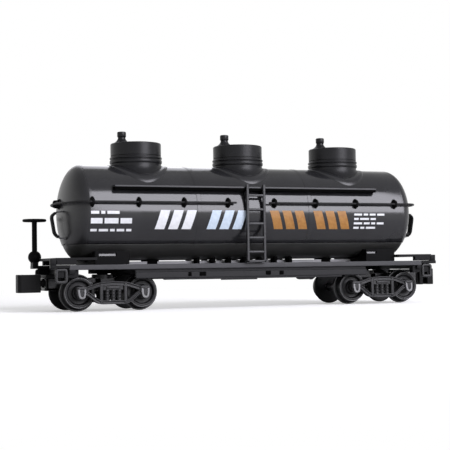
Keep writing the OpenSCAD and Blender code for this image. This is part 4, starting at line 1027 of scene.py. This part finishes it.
def ball_shell(low, high, middle):
    """Ball housing: a circle turned about Z, cut level at its foot and open round the staff, with a
    floor a little below its top."""
    play, floor, floor_r = 0.06, high[2] - 0.25, STAFF_R + 0.05
    ball_r = (high[0] - low[0]) / 2
    ball_z = corners("brake_staff")[0][2] - BALL_FLOOR - BALL_CUT + ball_r
    turn = np.linspace(math.asin((ball_z - low[2]) / ball_r), -math.acos((STAFF_R + play) / ball_r), 22)
    globe = np.stack([-ball_r * np.sin(turn), ball_r * np.cos(turn)], 1)
    return turned([*globe, (floor - ball_z, floor_r)], (middle[0], middle[1], ball_z), 2, 40)


def staff_shell(low, high, middle):
    """Brake staff: a lathe profile, a little slimmer between its foot and its head."""
    profile = [(low[2], STAFF_R), (low[2] + 0.9, STAFF_R), (low[2] + 1.3, 0.46), (high[2] - 0.5, 0.45),
               (high[2] - 0.3, 0.46), (high[2], 0.47)]
    return turned(profile, (middle[0], middle[1], 0), 2, 24)


def handle_shells(low, high, middle):
    """Hand wheel: a wire carried round a circle, a turned hub, and spokes of a rounded section that
    grow slimmer towards the rim."""
    wheel_z = (low[2] + high[2]) / 2
    rim_r = (high[0] - low[0]) / 2 - WHEEL_WIRE
    hub = [(-0.24, TIP_R), (-0.24, 0.44), (-0.16, STAFF_R), (0.1, STAFF_R), (0.18, 0.4), (0.22, 0.24),
           (0.24, TIP_R)]
    spoke_section = bar_section(0.15, 0.12, 0.06)

    def around(radius, angle):
        """Points at a radius and an angle from the staff, at the wheel's height."""
        x, y = middle[0] + radius * np.cos(angle), middle[1] + radius * np.sin(angle)
        return np.stack([x, y, np.full(len(x), wheel_z)], 1)

    rim_path = around(rim_r, np.linspace(0, TURN, 64, endpoint=False))
    shells = [sweep(rim_path, circle(WHEEL_WIRE, 14), Z_AXIS, loop=True),
              lathe(hub, (middle[0], middle[1], wheel_z), 2, 24)]
    reach = np.linspace(0.3, rim_r, 8)
    return shells + [sweep(around(reach, angle), spoke_section, Z_AXIS, np.linspace(1.05, 0.85, 8))
                     for angle in np.arange(SPOKES) * TURN / SPOKES]


brake_middle = centre("brake_housing")
piece("brake_drum", drum_shells(*corners("brake_cylinder")), truck_satin, "chassis", "frame_black",
      "brake_cylinder")
piece("brake_ball", [ball_shell(*corners("brake_housing"), brake_middle)], rail_black, "chassis",
      "fitting_black", "brake_housing")
piece("brake_rod", [staff_shell(*corners("brake_staff"), brake_middle)], rail_black, "brake_handwheel",
      "fitting_black", "brake_staff")
piece("brake_handle", handle_shells(*corners("brake_wheel"), brake_middle), rail_black, "brake_handwheel",
      "fitting_black", "brake_wheel")


def screw_pair(x, head_z, head, shank_r, top):
    """Two screws or pins turned about Z: the profile of a rounded head, and a plain shank."""
    profile = [*head, (SCREW_HEAD, head[-1][1]), (SCREW_HEAD, shank_r), (top - head_z, shank_r)]
    return [turned(profile, (sign * x, 0, head_z), 2, 32) for sign in BOTH]


screws = screw_pair(SCREW_X, DECK_BOTTOM - SEAT - SCREW_HEAD, [(0, 1.1), (0.06, 1.24), (0.16, 1.3)], 0.7,
                    corners("body_screws")[1][2])
piece("screw_pair", screws, screw_steel, "chassis", "screw_steel", "body_screws")
pin_low, pin_high = corners("king_pins")
pins = screw_pair(TRUCK_X, pin_low[2], [(0, 1.3), (0.1, 1.52), (0.22, 1.6)], 0.95, pin_high[2])
piece("pivot_pins", pins, end_shade_black, "chassis", "frame_black", "king_pins")


# Trucks, in coordinates that start at the truck's middle and, for the sideframes, at the axles' height

outer_axle = centre("axle_outer_a")
AXLE_X, AXLE_Z = outer_axle[0] - TRUCK_X, outer_axle[2]
side_low, side_high = corners("sideframe_far_a")
SIDE_IN, JOURNAL_OUT = side_low[1], side_high[1]
SIDE_OUT, JOURNAL_FACE = JOURNAL_OUT - 0.3, JOURNAL_OUT - 0.2
COIL_POINTS = 16  # points on one turn of a spring
POCKET_WALL, COVER_EXTRA = 0.55, 0.2
WHEEL_FACE, FLANGE_R = corners("wheels_outer_a")[1][1], AXLE_Z  # the flanges reach down to height 0
WHEEL_BACK, FLANGE_T, TREAD_R = WHEEL_FACE - 2.0, 0.55, FLANGE_R - 0.55
# EDGE_WIRE is the radius of a ring of painted highlight on a wheel's edge.
EDGE_WIRE = 0.1  # radius of a bright edge
# Place along the axle and radius of a ring of painted highlight at the edge of a rim and of a flange
EDGE_RINGS = ((WHEEL_FACE - 0.07, TREAD_R - 0.1), (WHEEL_BACK + 0.48, FLANGE_R - 0.15))


def truck_box(node):
    """Lowest and highest corner of a node of the +X end, seen from its truck's middle."""
    return np.array(corners(node)) - TRUCK_X * X_AXIS


def at_truck(shells, sign):
    """Skins drawn round a truck's middle, turned half round for the -X end and moved to its truck."""
    return [moved(shell, (sign * TRUCK_X, 0, 0), (sign, sign, 1)) for shell in shells]


def at_side(shells, sign, facing):
    """Skins of the far sideframe, moved to their truck and for the near side mirrored."""
    return [moved(shell, (sign * TRUCK_X, 0, AXLE_Z), (1, facing, 1)) for shell in shells]


def chord(line, half_t, reach=0.7):
    """Cast chord: a channel section, hollow on its outer face, carried along a softened line."""
    depth = (SIDE_OUT - SIDE_IN) / 2
    lip, dish, draft = 0.17, 0.16, 0.05
    lip_in = half_t - lip
    section = soften([(-half_t, -depth), (half_t, -depth), (half_t, depth), (lip_in, depth),
                      (lip_in - draft, depth - dish), (draft - lip_in, depth - dish), (-lip_in, depth),
                      (-half_t, depth)], 0.06, 3)
    return sweep(standing_path(soften(line, reach, 6, False), SIDE_IN + depth), section, Y_AXIS)


def coil(x, base, top, coil_r, wire_r, turns):
    """Moulded coil spring: a wire carried along a helix, on a core."""
    t = np.linspace(0, 1, int(turns * COIL_POINTS) + 1)
    angle = TURN * turns * t
    middle_y = SIDE_OUT - coil_r - wire_r
    spoke = np.stack([np.cos(angle), np.sin(angle), np.zeros(len(t))], 1)
    path = (x, middle_y, base) + coil_r * spoke + (top - base) * t[:, None] * Z_AXIS
    core = turned([(base - GRAFT, coil_r), (top + GRAFT, coil_r)], (x, middle_y, 0), 2, 20)
    return [sweep(path, circle(wire_r, 8), spoke), core]


def journal_shells(x):
    """Journal box: a rounded shield, wide above and narrow below, and a hinge roll across its top."""
    half_top, half_foot, half_h, shoulder = 0.9, 0.5, 1.1, -0.1
    roll_half, roll_r, roll_z, bevel = 0.66, 0.17, 0.75, 0.04
    outline = [(x - half_foot, -half_h), (x + half_foot, -half_h), (x + half_top, shoulder),
               (x + half_top, half_h), (x - half_top, half_h), (x - half_top, shoulder)]
    roll = [(-roll_half, roll_r - bevel), (bevel - roll_half, roll_r), (roll_half - bevel, roll_r),
            (roll_half, roll_r - bevel)]
    return [slab(soften(outline, 0.35), SIDE_IN, JOURNAL_FACE, 0.18, SIDE),
            turned(roll, (x, JOURNAL_FACE - 0.05, roll_z), 0, 16)]


def journal_rim(x):
    """Raised U on a journal box: a flat bar carried along a U whose plane leans back with the height."""
    half, foot_half, top, shoulder, foot = 0.52, 0.32, 0.62, -0.15, -0.85
    set_back, lean = 0.24, 0.22 / 1.7
    line = [(x - half, top), (x - half, shoulder), (x - foot_half, foot), (x + foot_half, foot),
            (x + half, shoulder), (x + half, top)]
    rim = soften(line, 0.35, 6, False)
    path = standing_path(rim, JOURNAL_OUT - set_back - lean * rim[:, 1])
    outward = unit(np.array((0, 1, 0.13)))
    return sweep(path, bar_section(0.2, 0.16, 0.05, 3), outward)


def sideframe_shells():
    """Cast sideframe of the far side: arched top chord, V-shaped bottom chord, two columns, a spring
    nest with the bolster's end over it, and two journal boxes."""
    column, window, low, high, knee = 2.4, 1.8, -2.05, 1.85, 4.5
    top_t, foot_t = 0.34, 0.32
    arch, foot = high - top_t, low + foot_t + 0.1
    coil_low, coil_high, coil_pitch, coil_r, coil_wire, turns = low + 0.66, 0.42, 1.05, 0.38, 0.125, 3.5
    shells = [
        chord([(-AXLE_X, 0.6), (-knee, 0.7), (-column, arch - 0.1), (0, arch + 0.04), (column, arch - 0.1),
               (knee, 0.7), (AXLE_X, 0.6)], top_t),
        chord([(-AXLE_X, 0.1), (-knee, 0.0), (-column - 0.1, foot), (column + 0.1, foot), (knee, 0.0),
               (AXLE_X, 0.1)], foot_t),
    ]
    for s in BOTH:
        shells.append(block((s * window, SIDE_IN, low + 0.3), (s * column, SIDE_OUT - 0.04, high - 0.3), 0.1))
        shells += journal_shells(s * AXLE_X)
    bolster_end = soften(rectangle((-window, 0.4), (window, 1.5)), 0.15)
    raised = soften(rectangle((-1.2, 0.62), (1.2, 1.02)), 0.12)
    shells.append(slab(bolster_end, SIDE_IN, SIDE_OUT - 0.3, 0.08, SIDE))
    shells.append(slab(raised, SIDE_OUT - 0.4, SIDE_OUT - 0.12, 0.06, SIDE))
    for x in (-coil_pitch, 0, coil_pitch):
        shells += coil(x, coil_low, coil_high, coil_r, coil_wire, turns)
    return shells


def bolster_shells(low, high):
    """Bolster of the +X end's truck: cross beam, centre plate, arm and an open coupler pocket, all
    rounded boxes but for the turned plate."""
    half, arm_half, arm_in, plate_r, bevel, pocket_h, mouth = 1.9, 1.5, 0.5, 1.85, 0.1, 2.5, 1.2
    beam_low, beam_high, arm_low, boss_low = low[2], low[2] + 1.5, low[2] + 1.1, low[2] + 1.2
    boss_high, plate_low, plate_high = high[2] - 0.5, high[2] - 0.7, high[2]
    lid_low, lid_high = truck_box("pocket_lid_a")
    back, front, pocket_half = lid_low[0], lid_high[0], lid_high[1]
    floor, rim = lid_high[2] - pocket_h, lid_low[2] - SEAT
    beam = soften(rectangle((-half, beam_low), (half, beam_high)), 0.25)
    plate = [(plate_low, plate_r), (plate_high - bevel, plate_r), (plate_high, plate_r - bevel)]
    shells = [
        slab(beam, low[1], high[1], 0.1, SIDE),
        block((-half, -arm_half, boss_low), (half, arm_half, boss_high), 0.15),
        turned(plate, (0, 0, 0), 2, 40),
        block((arm_in, -arm_half, arm_low), (back + POCKET_WALL, arm_half, rim), 0.12),
        block((back, -pocket_half, floor), (front, pocket_half, floor + POCKET_WALL), 0.1),
        block((back, -pocket_half, floor), (back + POCKET_WALL, pocket_half, rim), 0.1),
    ]
    for s in BOTH:
        corner = (front, s * pocket_half, rim)
        shells.append(block((back, s * (pocket_half - POCKET_WALL), floor), corner, 0.1))
        shells.append(block((front - POCKET_WALL, s * mouth, floor), corner, 0.1))
    return shells


def cover_shell(low, high):
    """Cover of the coupler pocket: a rounded box, a little thicker than the CAD lid."""
    return block(low, high + COVER_EXTRA * Z_AXIS, 0.09)


def coupler_shells(low, high):
    """Hook coupler of the +X end: the hook's outline as an upright plate, a shank and a cross bar."""
    head_len, bar, hook_len, hook = 3.85, 0.85, 0.7, -0.9
    tee_t, tee_half, shank_half, shank_h = 0.55, 1.4, 0.8, 0.5
    tip, half, tee_in, mid = high[0], high[1], low[0], (low[2] + high[2]) / 2
    head_in, hook_in = tip - head_len, tip - bar
    line = [(head_in, -half), (head_in + bar, -half), (head_in + bar, half - bar), (hook_in, half - bar),
            (hook_in, hook + bar), (hook_in - hook_len, hook + bar), (hook_in - hook_len, hook), (tip, hook),
            (tip, half), (head_in, half)]
    reach = np.array([0.2, 0.2, 0.25, 0.25, 0.2, 0.2, 0.15, 0.65, 0.65, 0.2])
    return [
        slab(soften(line, reach, 5), low[2], high[2], 0.13),
        block((tee_in, -shank_half, mid - shank_h), (head_in + bar / 2, shank_half, mid + shank_h), 0.1),
        block((tee_in, -tee_half, mid - shank_h), (tee_in + tee_t, tee_half, mid + shank_h), 0.1),
    ]


def axle_shell(half, x):
    """Axle along Y with needle points, turned from a profile."""
    tip, blunt = 0.095, 0.04
    profile = [(-half, tip * 0.6), (blunt - half, tip), (AXLE_R - half, AXLE_R), (half - AXLE_R, AXLE_R),
               (half - blunt, tip), (half, tip * 0.6)]
    return lathe(profile, (x, 0, AXLE_Z), 1, 32)


def wheel_shell(x, facing):
    """Wheel turned round the axle: flange with a rounded edge, tread, rim, dished web and hub."""
    back, face, root = WHEEL_BACK, WHEEL_FACE, WHEEL_BACK + FLANGE_T
    bore, hub, rim_r, floor, slope = 0.78, 1.1, TREAD_R - 0.55, face - 0.45, 0.15
    line = [(back, bore), (back, FLANGE_R - 0.12), (back + 0.14, FLANGE_R), (root - 0.2, FLANGE_R),
            (root, TREAD_R + 0.06), (root + 0.2, TREAD_R), (face, TREAD_R - 0.04), (face, rim_r),
            (floor, rim_r - slope), (floor, hub + slope), (face, hub), (face, bore)]
    reach = np.array([0.05, 0.18, 0.18, 0.12, 0.1, 0.1, 0.16, 0.14, 0.12, 0.12, 0.14, 0.05])
    return lathe(soften(line, reach) * (facing, 1), (x, 0, AXLE_Z), 1, 72, loop=True)


def wheel_edge(x, facing, place, radius):
    """Painted highlight on the rounded edge of a rim or a flange: a small circle turned round the axle, in a
    lighter finish.
    """
    return lathe((circle(EDGE_WIRE) + (place, radius)) * (facing, 1), (x, 0, AXLE_Z), 1, 72, loop=True)


def spring_shell(low, high):
    """Coupler's spring along X: a wire carried along a helix of six turns that fills the CAD box."""
    wire_r, turns = 0.1, 6
    t = np.linspace(0, 1, turns * COIL_POINTS + 1)
    spoke = np.stack([np.zeros(len(t)), np.cos(turns * TURN * t), np.sin(turns * TURN * t)], 1)
    path = (0, 0, (low[2] + high[2]) / 2) + ((high[1] - low[1]) / 2 - wire_r) * spoke
    path[:, 0] += low[0] + wire_r + (high[0] - low[0] - 2 * wire_r) * t
    return sweep(path, circle(wire_r, 8), spoke)


sideframe = sideframe_shells()
rims = [journal_rim(x) for x in (-AXLE_X, AXLE_X)]
bolster = bolster_shells(*truck_box("bolster_a"))
cover = [cover_shell(*truck_box("pocket_lid_a"))]
coupler = coupler_shells(*truck_box("coupler_a"))
for end, sign in ENDS:
    truck = f"truck_{end}"
    piece(f"truck_beam_{end}", at_truck(bolster, sign), truck_satin, truck, "truck_black", f"bolster_{end}")
    piece(f"pocket_cover_{end}", at_truck(cover, sign), hook_black, truck, "truck_black", f"pocket_lid_{end}")
    piece(f"hook_{end}", at_truck(coupler, sign), hook_black, f"coupler_{end}", "truck_black",
          f"coupler_{end}")
    for side, facing in SIDES:
        piece(f"side_casting_{side}_{end}", at_side(sideframe, sign, facing), truck_satin, truck,
              "truck_black", f"sideframe_{side}_{end}")
        # The journal rims carry painted highlight in a lighter finish.
        piece(f"journal_rims_{side}_{end}", at_side(rims, sign, facing), journal_highlight_satin, truck, "truck_black")
    for place in ("outer", "inner"):
        x, half = centre(f"axle_{place}_{end}")[0], corners(f"axle_{place}_{end}")[1][1]
        wheelset = f"wheelset_{place}_{end}"
        wheels = [wheel_shell(x, f) for f in BOTH]
        edges = [wheel_edge(x, f, *ring) for f in BOTH for ring in EDGE_RINGS]
        piece(f"axle_bar_{place}_{end}", [axle_shell(half, x)], axle_steel, wheelset, "axle_steel",
              f"axle_{place}_{end}")
        piece(f"wheel_pair_{place}_{end}", wheels, wheel_black, wheelset, "wheel_black",
              f"wheels_{place}_{end}")
        piece(f"wheel_edges_{place}_{end}", edges, tyre_highlight_satin, wheelset, "wheel_black")
    spring = spring_shell(*corners(f"coupler_spring_{end}"))
    piece(f"centring_coil_{end}", [spring], spring_brass, f"coupler_swing_{end}", "spring_metal",
          f"coupler_spring_{end}")

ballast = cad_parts["weight_bar"].data.materials
ballast.clear()
ballast.append(weight_steel)


# Stage, light and camera

FLOOR_HALF, FLOOR_Z = 1500, -0.02
FLOOR_TONE, FLOOR_LIFT = 0.82, 0.42
FADE_START, FADE_STOP = 0.05, 0.16  # metres from the object over which the floor turns white
ROOM_LIGHT = 0.25  # strength of the world as a light
LOW_SKY, HIGH_SKY, OVERHEAD = 0.15, 0.6, 0.45  # heights between which mirrored white falls, and what is left
LAMP_TINT = (0.945, 0.935, 1.02)
WHITE = (1, 1, 1, 1)


def floor_finish():
    """Pale floor that keeps shadows. For the camera it is lifted towards white, and with distance from
    the object it turns wholly into the white of the background, for the camera and in reflections."""
    material, tree, shader = shader_of("pale_floor")
    distance = add_node(tree, "VectorMath", {0: object_coords(tree)}, operation="LENGTH").outputs["Value"]
    fade = mapped(tree, distance, FADE_START, FADE_STOP, 0.0, 1.0, smooth=True)
    rays = add_node(tree, "LightPath", {}).outputs
    seen = combined(tree, "MAXIMUM", rays["Is Camera Ray"], rays["Is Glossy Ray"])
    fill(tree, shader, {
        "Base Color": (FLOOR_TONE, FLOOR_TONE, FLOOR_TONE, 1),
        "Roughness": 0.9,
        "Specular IOR Level": 0.1,
        "Emission Color": WHITE,
        "Emission Strength": combined(tree, "MULTIPLY", rays["Is Camera Ray"], FLOOR_LIFT),
    })
    white = add_node(tree, "Emission", {"Color": WHITE, "Strength": 1.0})
    blend = add_node(tree, "MixShader", {
        "Fac": combined(tree, "MULTIPLY", fade, seen),
        1: shader.outputs["BSDF"],
        2: white.outputs["Emission"],
    })
    fill(tree, tree.nodes["Material Output"], {"Surface": blend.outputs["Shader"]})
    return material


def light_room(world):
    """World that is white behind the object and in reflections, where it darkens overhead, and a dim
    even light for everything else."""
    world.use_nodes = True
    tree = world.node_tree
    rays = add_node(tree, "LightPath", {}).outputs
    mirrors = combined(tree, "MAXIMUM", rays["Is Camera Ray"], rays["Is Glossy Ray"])
    mirrors = combined(tree, "MAXIMUM", mirrors, rays["Is Transmission Ray"])
    toward = add_node(tree, "TexCoord", {}).outputs["Generated"]
    height = add_node(tree, "SeparateXYZ", {"Vector": toward}).outputs["Z"]
    overhead = mapped(tree, height, LOW_SKY, HIGH_SKY, 1.0, OVERHEAD)
    strength = mapped(tree, mirrors, 0.0, 1.0, ROOM_LIGHT, overhead)
    strength = combined(tree, "MAXIMUM", rays["Is Camera Ray"], strength)
    fill(tree, tree.nodes["Background"], {"Color": WHITE, "Strength": strength})


def standing(right, up, back, place):
    """Matrix of a lamp or a camera from its three axes and its place."""
    matrix = np.eye(4)
    matrix[:3] = np.column_stack([right, up, back, place])
    return Matrix(matrix)


def panel(name, place, width, height, radiance):
    """Soft box that faces the middle of the tank. Its power is radiance x pi x area."""
    light = bpy.data.lights.new(name, "AREA")
    light.shape = "RECTANGLE"
    light.size, light.size_y = width, height
    light.energy = radiance * math.pi * width * height
    light.color = LAMP_TINT
    obj = bpy.data.objects.new(name, light)
    bpy.context.scene.collection.objects.link(obj)
    back = unit(np.array(place) - (0, 0, TANK_Z * MM))
    right = unit(np.cross(Z_AXIS, back))
    obj.matrix_world = standing(right, np.cross(back, right), back, place)


reach = np.linspace(-FLOOR_HALF, FLOOR_HALF, 3)
points, quads, _ = sheet(np.stack(np.broadcast_arrays(reach[:, None], reach[None, :], FLOOR_Z), -1))
floor_mesh = bpy.data.meshes.new("studio_floor")
floor_mesh.from_pydata(points * MM, [], quads[:, ::-1].tolist())
floor_mesh.materials.append(floor_finish())
floor = bpy.data.objects.new("studio_floor", floor_mesh)
bpy.context.scene.collection.objects.link(floor)

bpy.context.scene.world = bpy.data.worlds.new("studio")
light_room(bpy.context.scene.world)
panel("key_box", place=(0.232, -0.484, 0.285), width=0.37, height=0.52, radiance=7.8)
panel("back_box", place=(0.1, 0.55, 0.35), width=0.3, height=0.42, radiance=1.5)
panel("top_box", place=(0.1, 0.0, 0.65), width=0.5, height=0.5, radiance=0.1)

YAW, PITCH, ROLL = np.radians((21.654, 2.181, -0.814))
VIEW_FROM = np.array((-76.953, -187.186, 7.118)) * MM
FOCAL_PIXELS, FRAME_PIXELS, SENSOR = 1109.459, 450, 36.0
forward = np.array((math.sin(YAW) * math.cos(PITCH), math.cos(YAW) * math.cos(PITCH), math.sin(PITCH)))
level_right = np.array((math.cos(YAW), -math.sin(YAW), 0))
level_up = np.cross(level_right, forward)
right = math.cos(ROLL) * level_right + math.sin(ROLL) * level_up
up = math.cos(ROLL) * level_up - math.sin(ROLL) * level_right
camera = bpy.data.objects.new("camera", bpy.data.cameras.new("camera"))
bpy.context.scene.collection.objects.link(camera)
camera.data.sensor_width = SENSOR
camera.data.lens = FOCAL_PIXELS * SENSOR / FRAME_PIXELS
camera.data.clip_start, camera.data.clip_end = 0.005, 20
camera.matrix_world = standing(right, up, -forward, VIEW_FROM)
bpy.context.scene.camera = camera
bpy.context.scene.view_settings.view_transform = "Standard"

bpy.context.view_layer.update()
